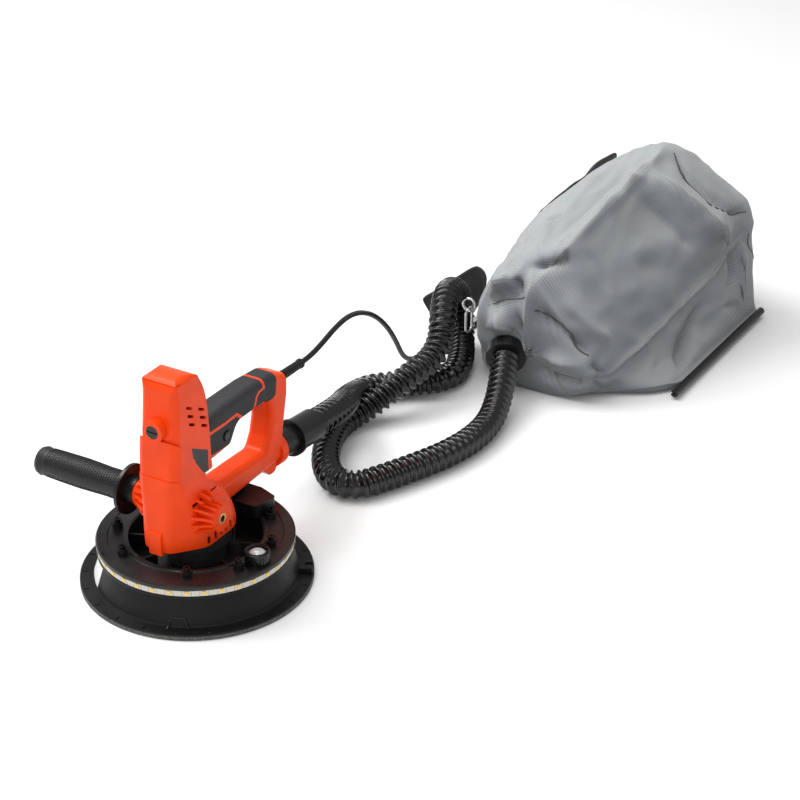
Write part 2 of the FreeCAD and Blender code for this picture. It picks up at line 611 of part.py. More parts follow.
MAIN_GRIP = [(12, 187), (43, 186), (66, 187), (80, 175), (82, 160), (93, 160), (99, 176),
             (104, 189), (110, 194), (119, 195), (122, 225), (12, 225)]
SWITCH_BLOCK = [(12, 183), (43, 182), (65, 183), (77, 172), (79, 160), (60, 140), (50, 154),
                (12, 157)]
FRONT_STRIP = [(12, 154.5), (48, 151.5), (51, 140), (12, 140)]
REAR_BAND = [(97, 160), (103, 175), (107.5, 187), (112, 191), (123, 192), (126, 225),
             (146, 225), (147, 190), (144, 174), (134, 169), (130, 160)]
LABEL = [(-34, 192), (-4, 176), (-5, 143), (-20, 157), (-31, 173)]
COVER_DEPTH = 1.8
TRIGGER_X0, TRIGGER_X1 = 54.0, 92.0
SLOT_GAP = 0.5
BUTTON = Vector(44, 0, 168)
SCREW_PLACES = ((-45, 253), (-14, 250), (-54, 128), (6, 129), (140, 189), (147, 116))
BODY_HEAD_Y, HANDLE_HEAD_Y = 19.0, 12.6    # how deep the screw heads sit


def region(outline, y0=-70.0, y1=70.0):
    return prism_xz(outline, 0, y0, y1)


def half_space(side):
    """Everything on one side of the joint between the housing halves."""
    return box(-200, 260, min(0, side * 100), max(0, side * 100), 40, 320)


def outer_housing():
    """Outside of the whole moulded housing, before it is hollowed."""
    bosses = [side_boss(side, BOSS_R, 57) for side in (-1, 1)]
    ribs = []
    for side in (-1, 1):
        fin = prism_xy(BOSS_FIN, 0, -1.5, 1.5) if side > 0 else prism_xy(
            [(x, -y) for x, y in BOSS_FIN], 0, -1.5, 1.5)
        for angle in FIN_ANGLES:
            copy = fin.copy()
            copy.rotate(Vector(0, 0, 0), Vector(0, 1, 0), -angle)
            copy.translate(Vector(SIDE_X, 0, SIDE_Z))
            ribs.append(copy)
    front_lug = region([(-76.4, 69), (-62, 69), (-62, 98), (-74.6, 98), (-76.6, 94)], -8.4, 8.4)
    front_seat = cyl(13, 12, Vector(-70.4, 0, 222), Vector(1, 0, 0))
    rear_seat = cyl(11, 10, Vector(8.4, 0, 222), Vector(-1, 0, 0))
    collar = cyl(20.5, 12, SPIGOT_START - SPIGOT_DIR * 4, SPIGOT_DIR)
    return fuse([body_solid(0), rounded_handle(0, HANDLE_ROUND), handle_lug(), front_lug,
                 front_seat, rear_seat, collar] + bosses + ribs)


def screw_post(x, z):
    return tube_y(4.2, 0, -60, 60, x, z)


def housing_cuts():
    """Every hole and pocket in the housing besides its hollow."""
    sockets = [box(-60, 10, min(s * 43, s * 70), max(s * 43, s * 70), 60, 150)
               .common(tube_y(INSERT_R, 0, -70, 70, SIDE_X, SIDE_Z)) for s in (-1, 1)]
    body_groove = box(-90, -46, -60, 60, SLIT_Z - 0.9, SLIT_Z + 0.1).cut(body_solid(1.3))
    screw_holes = [tube_y(1.7, 0, -12, 70, x, z) for x, z in SCREW_PLACES]
    heads = [tube_y(3.6, 0, HANDLE_HEAD_Y if x > 60 else BODY_HEAD_Y, 70, x, z)
             for x, z in SCREW_PLACES]
    return Part.makeCompound([
        cyl(8.0, 14, Vector(-70.6, 0, 222), Vector(1, 0, 0)),
        cyl(8.0, 14, Vector(8.6, 0, 222), Vector(-1, 0, 0)),
        cyl(17.0, 30, SPIGOT_START, SPIGOT_DIR),
        cyl(6.6, 30, Vector(155, 0, 177), Vector(1, 0, 0)),
        box(66, 88, -11, 11, 70, 90),
        cyl(SPIGOT_R + 0.2, 8, Vector(0, 0, BODY_Z - 4)),
        cyl(CASE_R + 0.2, 4, Vector(0, 0, BODY_Z - 4)),
        box(MOTOR_X - 31, MOTOR_X + 31, -4.4, 4.4, 216, 228),
        box(TRIGGER_X0 - SLOT_GAP, TRIGGER_X1 + SLOT_GAP, -8.5, 8.5, 140, 182),
        tube_y(6.6, 0, -20, -11, BUTTON.x, BUTTON.z),
        region(SIDE_SLOT, 22, 60), region(SIDE_SLOT, -60, -22),
        cyl(22.2, 64, Vector(MOTOR_X, 0, 138)),
        body_groove, vent_cutter(), exhaust_cutter()] + sockets + screw_holes + heads)


def make_covers(outer_grip):
    """Soft-touch covers, flush in the rear handle, and the two name plates."""
    skin = outer_grip.cut(rounded_handle(COVER_DEPTH, HANDLE_ROUND - COVER_DEPTH))
    skin = skin.cut(housing_cuts())
    pieces = [skin.common(region(shape))
              for shape in (MAIN_GRIP, SWITCH_BLOCK, FRONT_STRIP, REAR_BAND)]
    covers = fuse(pieces)
    body_skin = body_solid(0).cut(body_solid(0.8))
    plates = body_skin.common(region(LABEL))
    return covers, plates


def make_housing():
    """Two clamshell halves with the covers and plates let into them."""
    outer = outer_housing()
    covers, plates = make_covers(rounded_handle(0, HANDLE_ROUND).cut(body_solid(0)))
    grip_hollow = handle_solid(4.2).fuse(box(60, 158, -11, 11, 84, 104))
    hollow = fuse([body_solid(WALL), grip_hollow])
    posts = [screw_post(x, z) for x, z in SCREW_PLACES]
    web = box(-64, 4, -34, 34, 234.5, 244.5)
    floor = box(-80, 50, -50, 50, BODY_Z - 4, BODY_Z + 1.8)
    air = turned(cyl(5.5, 20, Vector(MOTOR_X + 24, 0, 230)), 45, MOTOR_X)
    web = web.cut(Part.makeCompound(around(air, 4, MOTOR_X)))
    core = hollow.cut(fuse(posts + [web, floor]))
    shell = outer.cut(core).cut(housing_cuts()).cut(covers.fuse(plates))
    shell = shell.cut(cyl(11.0, 12, Vector(MOTOR_X, 0, 233.5)))
    halves = [shell.common(half_space(side)) for side in (1, -1)]
    cover_halves = [covers.common(half_space(side)) for side in (1, -1)]
    plate_halves = [plates.common(half_space(side)) for side in (1, -1)]
    return halves, cover_halves, plate_halves


def make_housing_screws():
    """Screws that draw the two halves together, driven from the left side."""
    screws = []
    for x, z in SCREW_PLACES:
        head_y = HANDLE_HEAD_Y if x > 60 else BODY_HEAD_Y
        head = tube_y(3.3, 0, head_y, head_y + 2.4, x, z)
        head = head.cut(box(x - 0.5, x + 0.5, head_y + 1, head_y + 3, z - 2.4, z + 2.4))
        screws.append(head.fuse(tube_y(1.6, 0, -10, head_y, x, z)))
    return Part.makeCompound(screws)


# --- controls -----------------------------------------------------------------------------
def make_trigger():
    """Sliding trigger under the grip: its finger face follows the opening's edge."""
    outline = [(TRIGGER_X0, 152), (60, 157), (67, 167), (76, 169.5), (TRIGGER_X1, 169.5),
               (TRIGGER_X1, 174.5), (TRIGGER_X0, 174.5)]
    body = prism_xz(outline, [2, 8, 6, 10, 1.5, 0, 0], -8, 8)
    return body


def make_switch():
    """Switch block above the trigger, with its plunger's return spring."""
    block = box(58, 90, -9, 9, 183, 198)
    terminals = [box(x, x + 1, -5, 5, 198, 200) for x in (64, 72, 80)]
    plunger = cyl(2.5, 3, Vector(74, 0, 180.0))
    return fuse([block, plunger] + terminals)


def make_lock_button():
    """Round lock-on button in the right side of the switch housing."""
    button = tube_y(6.0, 0, -19.0, -12.4, BUTTON.x, BUTTON.z)
    edges = [e for e in button.Edges if abs(e.BoundBox.YMax + 19.0) < 0.01]
    button = button.makeFillet(0.8, edges)
    ring_groove = tube_y(4.6, 4.0, -19.2, -18.6, BUTTON.x, BUTTON.z)
    return button.cut(ring_groove)


# --- side handle --------------------------------------------------------------------------
def make_side_handle():
    """Side handle: knurled grip, round guard and the stud that screws it in."""
    axis = Vector(0, 1, 0)
    guard = tube_y(30, 4.0, 68, 72, SIDE_X, SIDE_Z).fuse(tube_y(17, 4.0, 57.1, 73, SIDE_X, SIDE_Z))
    profile = [(4.0, 73), (19.5, 73), (19.5, 77), (16.6, 80), (16.2, 100), (17.4, 135),
               (17.0, 165), (16.4, 186), (17.6, 192), (16.0, 196.5), (11.0, 198), (0, 198),
               (0, 118), (4.0, 118)]
    points = [Vector(r, y, 0) for r, y in profile]
    grip = Part.Face(Part.makePolygon(points + [points[0]])).revolve(Vector(0, 0, 0), axis, 360)
    grip.translate(Vector(SIDE_X, 0, SIDE_Z))
    stud = tube_y(4.0, 0, 46, 118, SIDE_X, SIDE_Z)
    return guard, grip, stud


def make_handle_inserts():
    """Threaded steel inserts for the side handle, one on each side."""
    inserts = []
    for side in (-1, 1):
        y0, y1 = sorted((side * 43, side * 57))
        inserts.append(tube_y(INSERT_R, 4.0, y0, y1, SIDE_X, SIDE_Z))
    return Part.makeCompound(inserts)


# --- dust outlet and hose -----------------------------------------------------------------
def along_spigot(distance):
    return SPIGOT_START + SPIGOT_DIR * distance


def make_spigot():
    return cyl(17.0, 50, along_spigot(2), SPIGOT_DIR).cut(cyl(14.5, 50, along_spigot(2), SPIGOT_DIR))


def make_sleeve():
    """Rubber sleeve that joins the hose to the spigot, with a lip at its mouth."""
    body = cyl(20.5, 48, along_spigot(42), SPIGOT_DIR)
    lip = cyl(23, 5, along_spigot(40), SPIGOT_DIR)
    sleeve = body.fuse(lip)
    return sleeve.cut(cyl(17.05, 12.2, along_spigot(40), SPIGOT_DIR)).cut(
        cyl(14.5, 80, along_spigot(40), SPIGOT_DIR))


HOSE_ROUTE = [(245.5, 0, 80.0), (301, 0, 74.1), (340, 14, 62), (382, 37, 40), (424, 52, 24),
              (462, 50, 18.1), (492, 20, 18.1), (520, -14, 18.1), (554, -26, 18.1),
              (596, -10, 18.1), (634, 12, 21), (655, 24, 44), (652, 27, 78), (624, 23, 100),
              (586, 11, 106), (552, -5, 94), (530, -16, 74), (502, -17, 57), (466, -9, 51),
              (432, 4, 38), (400, 22, 22), (364, 32, 18.1), (328, 26, 18.1), (290, 10, 18.1),
              (256, -12, 18.1), (233, -40, 18.1), (240, -70, 18.1), (272, -86, 18.1),
              (312, -104, 18.1), (358, -122, 18.1), (408, -132, 18.1), (458, -130, 18.4),
              (500, -119, 28), (536, -105, 42), (566, -92, 51)]
COLLAR_AT = Vector(566, -92, 51)
COLLAR_DIR = Vector(30, 13, 9).normalize()


def make_hose():
    points = [Vector(*p) for p in HOSE_ROUTE]
    points[0:2] = [along_spigot(90), along_spigot(146)]
    return swept_tube("dust_hose", points, HOSE_D)


def make_collar():
    """Bag's inlet collar: a dished cup round the end of the hose, with its clamp band."""
    cup = cyl(26, 22, COLLAR_AT, COLLAR_DIR)
    far_rim = max((e for e in cup.Edges if e.Length > 100), key=lambda e: e.CenterOfMass.x)
    return cup.makeFillet(7, [far_rim])


# --- dust bag -----------------------------------------------------------------------------
BAG_SECTIONS = {
    592: [(-188, 0), (-200, 34), (-166, 108), (-116, 160), (-84, 157), (-52, 138), (-36, 84),
          (-48, 22), (-70, 0)],
    622: [(-214, 0), (-216, 42), (-188, 132), (-152, 204), (-106, 190), (-56, 158), (-22, 90),
          (-26, 14), (-48, 0)],
    700: [(-262, 0), (-246, 64), (-218, 142), (-163, 226), (-115, 214), (-68, 188), (-4, 100),
          (-6, 12), (-30, 0)],
    800: [(-268, 0), (-262, 92), (-246, 166), (-170, 246), (-120, 228), (-66, 199), (18, 110),
          (24, 12), (-10, 0)],
    890: [(-268, 0), (-274, 116), (-262, 186), (-168, 256), (-124, 240), (-80, 208), (10, 110),
          (14, 12), (-20, 0)],
    944: [(-264, 0), (-276, 98), (-262, 154), (-206, 196), (-150, 190), (-92, 165), (-10, 90),
          (-6, 12), (-30, 0)],
    966: [(-236, 0), (-248, 80), (-236, 128), (-190, 158), (-150, 153), (-104, 130), (-44, 80),
          (-40, 12), (-60, 0)]}


BAG_WALL = 2.0            # fabric with its seam allowances and the dust caked inside
BAG_INSET_SLOPE = 1.6     # a wall runs aslant to the line from the section's middle


def bag_solid(inset):
    """Outside of the bag lying on its side, or its inside at a distance of inset."""
    wires = []
    last = max(BAG_SECTIONS)
    for x, outline in BAG_SECTIONS.items():
        y_mid = sum(y for y, z in outline) / len(outline)
        z_mid = sum(z for y, z in outline) / len(outline)
        shift = inset if x == min(BAG_SECTIONS) else -inset if x == last else 0
        points = []
        for y, z in outline:
            reach = math.hypot(y - y_mid, z - z_mid)
            keep = 1 - BAG_INSET_SLOPE * inset / reach
            points.append(Vector(x + shift, y_mid + keep * (y - y_mid),
                                 z_mid + keep * (z - z_mid)))
        wires.append(Part.makePolygon(points + [points[0]]))
    return Part.makeLoft(wires, True, True)


def make_bag():
    """Filled dust bag as its fabric's closed skin, with a seat for the inlet collar."""
    seat = cyl(26.3, 22.3, COLLAR_AT, COLLAR_DIR)
    skin = bag_solid(0).cut(bag_solid(BAG_WALL))
    return skin.cut(seat)


def make_bag_hem():
    """Flattened mouth of the bag, which the slide-on clip closes."""
    return box(CLIP_X0 + 14, CLIP_X1 - 6, CLIP_Y + 1.5, -264, CLIP_Z - 1.4, CLIP_Z + 1.4).cut(
        bag_solid(0))


def make_clip():
    """Slide-on clip: a slotted plastic bar that pinches the bag's mouth."""
    bar = tube_x(5.2, CLIP_X0, CLIP_X1, CLIP_Y, CLIP_Z)
    slot = box(CLIP_X0 - 1, CLIP_X1 + 1, CLIP_Y - 1.2, CLIP_Y + 8, CLIP_Z - 1.75, CLIP_Z + 1.75)
    bore = tube_x(3.2, CLIP_X0 + 3, CLIP_X1 + 1, CLIP_Y, CLIP_Z)
    return bar.cut(slot).cut(bore)


def tube_x(radius, x0, x1, y, z):
    return cyl(radius, x1 - x0, Vector(x0, y, z), Vector(1, 0, 0))


# --- mains lead ---------------------------------------------------------------------------
CORD_ROUTE = [(223.4, 0, 174.6), (244, 0.5, 174), (272, 2, 177.5), (308, 5, 183.5),
              (348, 12, 180), (390, 20, 166),
              (436, 28, 140), (478, 35, 104), (512, 42, 66), (540, 48, 28), (574, 53, 6.0),
              (624, 50, 3.5), (680, 39, 3.5), (738, 33, 3.5), (796, 31.5, 3.5), (854, 34, 3.5),
              (910, 45, 3.5), (962, 66, 3.5), (1004, 74.9, 3.5)]
PLUG_Y = -26.0


def make_cord():
    """Free stretch of the lead, its wound coil and the short tail to the plug."""
    points = [Vector(*p) for p in CORD_ROUTE]
    lead = swept_tube("mains_lead", points, CORD_D)
    coil = ring(COIL_R_OUT, COIL_R_IN, 0, COIL_H, COIL_CENTRE.x, COIL_CENTRE.y)
    lead = lead.cut(coil)
    x = COIL_CENTRE.x + COIL_R_OUT - CORD_D / 2
    tail = tube_y(CORD_D / 2, 0, PLUG_Y, 30, x, 10.5).cut(coil)
    return lead, coil, tail


def make_relief():
    """Tapered strain relief where the lead leaves the handle."""
    cone = Part.makeCone(7.5, 4.6, 40, Vector(176, 0, 177.2), Vector(47, 0, -2.6))
    root = cyl(6.5, 16, Vector(162, 0, 177), Vector(1, 0, 0))
    tip = Part.makeCone(4.6, 4.2, 7.2, Vector(215.9, 0, 174.9), Vector(47, 0, -2.6))
    return fuse([root, cone, tip])


def make_plug():
    """Two-pin mains plug lying beside the coil."""
    x = COIL_CENTRE.x + COIL_R_OUT - CORD_D / 2
    body = prism_xy([(x - 9, PLUG_Y), (x + 9, PLUG_Y), (x + 13, PLUG_Y - 16),
                     (x + 13, PLUG_Y - 42), (x - 13, PLUG_Y - 42), (x - 13, PLUG_Y - 16)],
                    [3, 3, 8, 3, 3, 8], 2.0, 19.0)
    edges = [e for e in body.Edges if e.BoundBox.ZLength < 0.01]
    body = body.makeFillet(2.4, edges)
    pins = [tube_y(2.4, 0, PLUG_Y - 61, PLUG_Y - 42, x + dx, 10.5) for dx in (-9.5, 9.5)]
    return body, Part.makeCompound(pins)


# --- shoulder strap -----------------------------------------------------------------------
PAD_START = Vector(650, 80, 0)
PAD_ALONG = Vector(0.945, -0.327, 0)
PAD_OUTLINE = [(0, 58), (10, 36), (26, 1), (86, 1), (104, 16), (115, 34), (118, 52), (111, 68),
               (98, 77), (84, 77), (60, 69)]
WEBBING = [((769, 46, 32), (0, 0, 13)), ((794, 41, 28), (-1, 0, 13)),
           ((835, 38, 28), (0, 0, 13)), ((880, 34, 34), (-2, 0, 13)),
           ((915, 24, 54), (-6, 0, 12)), ((936, 2, 90), (-10, -2, 9)),
           ((938, -32, 126), (-11, -4, 6)), ((924, -60, 168), (-12, -6, 8)),
           ((905, -74, 203), (-5, -5, 13)), ((885, -66, 202), (0, -5, 13)),
           ((867, -55, 193), (6, -3, 12)), ((861, -38, 171), (11, -2, 6)),
           ((859, -6, 137), (11, 0, 5)), ((858, 17, 110), (11, 0, 5))]
WEBBING_HALF = 1.2
HOOK_AT = Vector(614, -10, 66)
HOOK_WIRE_R = 1.7
HOOK_HALF = 8.0


def make_strap():
    """Shoulder pad standing folded beside the bag, and the webbing over the bag."""
    points = [PAD_START + PAD_ALONG * s + Vector(0, 0, z) for s, z in PAD_OUTLINE]
    wire = rounded_wire(points, [3, 8, 6, 6, 8, 8, 7, 6, 5, 5, 20])
    normal = Vector(0, 0, 1).cross(PAD_ALONG)
    pad = Part.Face(wire).extrude(normal * 8)
    sections = []
    for i, (centre, half) in enumerate(WEBBING):
        before = Vector(*WEBBING[max(i - 1, 0)][0])
        after = Vector(*WEBBING[min(i + 1, len(WEBBING) - 1)][0])
        centre, half = Vector(*centre), Vector(*half)
        across = (after - before).cross(half).normalize() * WEBBING_HALF
        corners = [centre + half + across, centre - half + across,
                   centre - half - across, centre + half - across]
        sections.append(Part.makePolygon(corners + [corners[0]]))
    return pad, Part.makeLoft(sections, True, True)


def make_snap_hook():
    """Snap hook on the bag's corner ring: bent wire body, hinged gate and the ring."""
    x, y, z = HOOK_AT
    left, right = x - HOOK_HALF, x + HOOK_HALF
    corners = [Vector(right, y, z + 8), Vector(right, y, z + 17), Vector(left, y, z + 17),
               Vector(left, y, z - 17), Vector(right, y, z - 17), Vector(right, y, z - 10)]
    path = [Part.LineSegment(corners[0], corners[1] - Vector(0, 0, 6)).toShape()]
    reach = 6.0
    for i in range(1, 5):
        u = (corners[i - 1] - corners[i]).normalize()
        v = (corners[i + 1] - corners[i]).normalize()
        start, end = corners[i] + u * reach, corners[i] + v * reach
        mid = corners[i] + (u + v) * (reach * (1 - math.sqrt(0.5)))
        path.append(Part.Arc(start, mid, end).toShape())
        last = corners[i + 1] + (corners[i] - corners[i + 1]).normalize() * reach
        if i == 4:
            last = corners[5]
        if end.distanceToPoint(last) > 1e-6:
            path.append(Part.LineSegment(end, last).toShape())
    section = Part.Wire(Part.makeCircle(HOOK_WIRE_R, corners[0], Vector(0, 0, 1)))
    body = Part.Wire(path).makePipeShell([section], True, True)
    gate = cyl(1.4, 15.6, Vector(right, y, z - 8)).fuse(
        tube_y(1.6, 0, y - 1.7, y + 1.7, right, z - 8))
    bag_ring = Part.makeTorus(9, 1.6, Vector(x, y, z + 22.2), Vector(1, 0, 0))
    return body, gate, bag_ring


def build():
    """Make every node of the sander and write it."""
    export("brush_ring", make_brush_ring())
    export("skirt", make_skirt())
    export("head_plate", make_head_plate())
    for name, shape in zip(("light_strip", "light_chips"), make_light_ring()):
        export(name, shape)
    export("plate_screws", make_plate_screws())
    export("plate_duct", make_plate_duct())
    for name, shape in zip(("regulator_cap", "regulator_dome"), make_regulator()):
        export(name, shape)
    for name, shape in zip(("pad_plate", "pad_foam", "abrasive_disc", "pad_screw"),
                           make_pad()):
        export(name, shape)
    gear, pinion = make_gears()
    export("driven_gear", gear)
    export("spindle", make_spindle())
    export("spindle_bearings", Part.makeCompound([
        bearing(16, 6, 10, 0, 0, 33), bearing(14, 6, 8, 0, 0, BODY_Z + 4)]))
    export("motor_bearings", Part.makeCompound([
        bearing(13, 5, 8, MOTOR_X, 0, BODY_Z + 3), bearing(11, 4, 7, MOTOR_X, 0, 236)]))
    for name, shape in zip(("gearcase_pan", "gearcase_cover"), make_gearcase()):
        export(name, shape)
    names = ("motor_field", "field_coils", "armature_core", "armature_windings",
             "commutator", "motor_shaft")
    for name, shape in zip(names, make_motor(pinion)):
        export(name, shape)
    export("cooling_fan", make_fan())
    for name, shape in zip(("carbon_brushes", "brush_holders", "brush_springs",
                            "brush_caps"), make_brush_gear()):
        export(name, shape)
    halves, covers, plates = make_housing()
    for i, side in enumerate(("left", "right")):
        export("housing_" + side, halves[i])
        export("grip_cover_" + side, covers[i])
    export("name_plates", Part.makeCompound(plates))
    export("housing_screws", make_housing_screws())
    export("trigger", make_trigger())
    export("switch", make_switch())
    export("lock_button", make_lock_button())
    for name, shape in zip(("handle_guard", "handle_grip", "handle_stud"), make_side_handle()):
        export(name, shape)
    export("handle_inserts", make_handle_inserts())
    export("dust_spigot", make_spigot())
    export("hose_sleeve", make_sleeve())
    export("dust_hose", make_hose())
    export("bag_collar", make_collar())
    export("dust_bag", Part.makeCompound([make_bag(), make_bag_hem()]))
    export("bag_clip", make_clip())
    for name, shape in zip(("shoulder_pad", "strap_webbing"), make_strap()):
        export(name, shape)
    for name, shape in zip(("snap_hook", "hook_gate", "bag_ring"), make_snap_hook()):
        export(name, shape)
    export("cord_relief", make_relief())
    for name, shape in zip(("mains_lead", "lead_coil", "lead_tail"), make_cord()):
        export(name, shape)
    for name, shape in zip(("plug_body", "plug_pins"), make_plug()):
        export(name, shape)


build()
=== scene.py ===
"""Looks of a hand-held drywall disc sander with its hose, dust bag, strap and mains lead."""
import json
import math

import bmesh
import bpy
from mathutils import Matrix, Vector, noise
from mathutils.bvhtree import BVHTree


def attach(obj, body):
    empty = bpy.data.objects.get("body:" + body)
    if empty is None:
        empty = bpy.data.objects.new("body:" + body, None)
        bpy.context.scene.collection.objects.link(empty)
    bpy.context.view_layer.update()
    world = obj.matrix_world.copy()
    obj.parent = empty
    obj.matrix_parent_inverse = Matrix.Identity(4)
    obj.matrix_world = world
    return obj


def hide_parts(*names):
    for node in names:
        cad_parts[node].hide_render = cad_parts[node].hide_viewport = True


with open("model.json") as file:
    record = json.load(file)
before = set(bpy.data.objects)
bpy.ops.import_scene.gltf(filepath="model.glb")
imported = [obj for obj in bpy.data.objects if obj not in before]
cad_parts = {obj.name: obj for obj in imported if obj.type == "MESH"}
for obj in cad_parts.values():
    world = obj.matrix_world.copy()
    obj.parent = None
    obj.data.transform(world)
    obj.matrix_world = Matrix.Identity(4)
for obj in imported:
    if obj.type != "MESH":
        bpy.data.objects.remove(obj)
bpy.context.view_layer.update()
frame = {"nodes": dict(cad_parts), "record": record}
BODY = "sander"


# --- small helpers ------------------------------------------------------------------------
def mesh_piece(name, points, faces, material=None, smooth=True, body=BODY):
    """A mesh object from points and faces, riding on a body."""
    mesh = bpy.data.meshes.new(name)
    mesh.from_pydata([tuple(p) for p in points], [], faces)
    mesh.validate()
    mesh.update()
    for polygon in mesh.polygons:
        polygon.use_smooth = smooth
    piece = bpy.data.objects.new(name, mesh)
    bpy.context.scene.collection.objects.link(piece)
    if material:
        mesh.materials.append(material)
    if body:
        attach(piece, body)
    return piece


def grid_faces(rows, columns, wrap=False):
    """Quads of a grid of rows x columns points, closed across its columns when wrap is set."""
    faces = []
    last = columns if wrap else columns - 1
    for r in range(rows - 1):
        for c in range(last):
            d = (c + 1) % columns
            faces.append((r * columns + c, r * columns + d,
                          (r + 1) * columns + d, (r + 1) * columns + c))
    return faces


def auto_smooth(piece, degrees):
    """Smooth shading with creases where faces meet at more than the angle."""
    mesh = piece.data
    mesh.polygons.foreach_set("use_smooth", [True] * len(mesh.polygons))
    bm = bmesh.new()
    bm.from_mesh(mesh)
    limit = math.radians(degrees)
    for edge in bm.edges:
        edge.smooth = len(edge.link_faces) == 2 and edge.calc_face_angle(0) < limit
    bm.to_mesh(mesh)
    bm.free()


def smoothstep(a, b, x):
    t = min(max((x - a) / (b - a), 0.0), 1.0)
    return t * t * (3 - 2 * t)


# --- materials ----------------------------------------------------------------------------
class Surface:
    """A node material under construction."""

    def __init__(self, name, colour, roughness, metallic=0.0, **sockets):
        self.material = bpy.data.materials.new(name)
        self.material.use_nodes = True
        self.tree = self.material.node_tree
        self.shader = self.tree.nodes["Principled BSDF"]
        self.set(self.shader, "Base Color", (*colour, 1))
        self.set(self.shader, "Roughness", roughness)
        self.set(self.shader, "Metallic", metallic)
        for key, value in sockets.items():
            self.set(self.shader, key.replace("_", " "), value)
        self.colour = colour
        self.roughness = roughness
        self.place = self.node("ShaderNodeTexCoord").outputs["Object"]

    def set(self, node, socket, value):
        node.inputs[socket].default_value = value

    def node(self, kind, **settings):
        made = self.tree.nodes.new(kind)
        for key, value in settings.items():
            setattr(made, key, value)
        return made

    def link(self, a, b):
        self.tree.links.new(a, b)

    def math(self, operation, a, b=None, c=None):
        node = self.node("ShaderNodeMath", operation=operation)
        for socket, value in zip(node.inputs, (a, b, c)):
            if value is None:
                continue
            if hasattr(value, "node"):
                self.link(value, socket)
            else:
                socket.default_value = value
        return node.outputs[0]

    def noise(self, scale, detail=3.0, roughness=0.5):
        node = self.node("ShaderNodeTexNoise")
        self.set(node, "Scale", scale)
        self.set(node, "Detail", detail)
        self.set(node, "Roughness", roughness)
        self.link(self.place, node.inputs["Vector"])
        return node.outputs["Fac"]

    def axes(self):
        """The surface point's coordinates in the object's frame."""
        split = self.node("ShaderNodeSeparateXYZ")
        self.link(self.place, split.inputs[0])
        return split.outputs

    def ramp(self, value, stops):
        node = self.node("ShaderNodeValToRGB")
        elements = node.color_ramp.elements
        while len(elements) < len(stops):
            elements.new(0.5)
        for element, (position, colour) in zip(elements, stops):
            element.position = position
            element.color = (*colour, 1)
        self.link(value, node.inputs["Fac"])
        return node.outputs["Color"]

    def grade(self, value, low, high, a=0.35, b=0.65):
        """Base colour that runs from colour x low to colour x high as value rises."""
        stops = [(a, tuple(min(c * low, 1) for c in self.colour)),
                 (b, tuple(min(c * high, 1) for c in self.colour))]
        self.link(self.ramp(value, stops), self.shader.inputs["Base Color"])

    def vary_roughness(self, value, spread):
        node = self.node("ShaderNodeMapRange")
        self.link(value, node.inputs["Value"])
        self.set(node, "From Min", 0.3)
        self.set(node, "From Max", 0.7)
        self.set(node, "To Min", max(self.roughness - spread, 0.02))
        self.set(node, "To Max", min(self.roughness + spread, 1.0))
        self.link(node.outputs["Result"], self.shader.inputs["Roughness"])

    def bump(self, height, distance, strength=1.0):
        node = self.node("ShaderNodeBump")
        self.set(node, "Distance", distance)
        self.set(node, "Strength", strength)
        self.link(height, node.inputs["Height"])
        earlier = self.shader.inputs["Normal"].links
        if earlier:
            self.link(earlier[0].from_socket, node.inputs["Normal"])
        self.link(node.outputs["Normal"], self.shader.inputs["Normal"])


def moulded(name, colour, roughness, grain=1400, grain_depth=0.00008, **sockets):
    """Injection-moulded plastic: fine spark-eroded grain and a faint unevenness."""
    s = Surface(name, colour, roughness, **sockets)
    s.grade(s.noise(28, 4), 0.93, 1.06)
    s.vary_roughness(s.noise(60, 5), 0.05)
    s.bump(s.noise(grain, 2), grain_depth, 0.6)
    s.bump(s.noise(35, 2), 0.0006, 0.25)
    return s.material


def turned_metal():
    """Faintly brown black of the head plate, with fine turned rings."""
    s = Surface("turned_black", (0.0065, 0.0052, 0.0050), 0.30, Specular_IOR_Level=0.42)
    x, y, _ = s.axes()
    radius = s.math("SQRT", s.math("ADD", s.math("MULTIPLY", x, x), s.math("MULTIPLY", y, y)))
    rings = s.math("SINE", s.math("MULTIPLY", radius, 5200.0))
    s.bump(rings, 0.00004, 0.5)
    s.grade(s.noise(22, 4), 0.75, 1.5)
    s.vary_roughness(s.noise(40, 4), 0.07)
    s.bump(s.noise(900, 2), 0.00005, 0.4)
    return s.material


def bristle():
    """Felt and short bristles round the edge of the skirt."""
    s = Surface("bristle_edge", (0.105, 0.105, 0.098), 0.9)
    x, y, _ = s.axes()
    angle = s.math("ARCTAN2", y, x)
    strands = s.math("SINE", s.math("MULTIPLY", angle, 900.0))
    s.bump(strands, 0.0003, 0.7)
    s.grade(s.noise(420, 4), 0.6, 1.5)
    s.bump(s.noise(900, 3), 0.0003, 0.6)
    return s.material


def light_strip():
    """Pale flexible strip with a row of copper-coloured pads."""
    s = Surface("light_strip", (0.62, 0.60, 0.52), 0.35)
    x, y, _ = s.axes()
    angle = s.math("MULTIPLY", s.math("ARCTAN2", y, x), 36 / (2 * math.pi))
    beat = s.math("ABSOLUTE", s.math("SUBTRACT", s.math("FRACT", angle), 0.5))
    s.link(s.ramp(beat, [(0.0, (0.62, 0.60, 0.52)), (0.2, (0.66, 0.64, 0.58)),
                         (0.24, (0.42, 0.33, 0.24)), (0.27, (0.64, 0.62, 0.55)),
                         (0.5, (0.70, 0.69, 0.64))]), s.shader.inputs["Base Color"])
    s.bump(s.noise(300, 3), 0.0001, 0.4)
    return s.material


def chip_yellow():
    s = Surface("chip_yellow", (0.86, 0.60, 0.10), 0.3, Coat_Weight=0.5)
    s.grade(s.noise(500, 2), 0.9, 1.1)
    s.bump(s.noise(800, 2), 0.00005, 0.4)
    return s.material


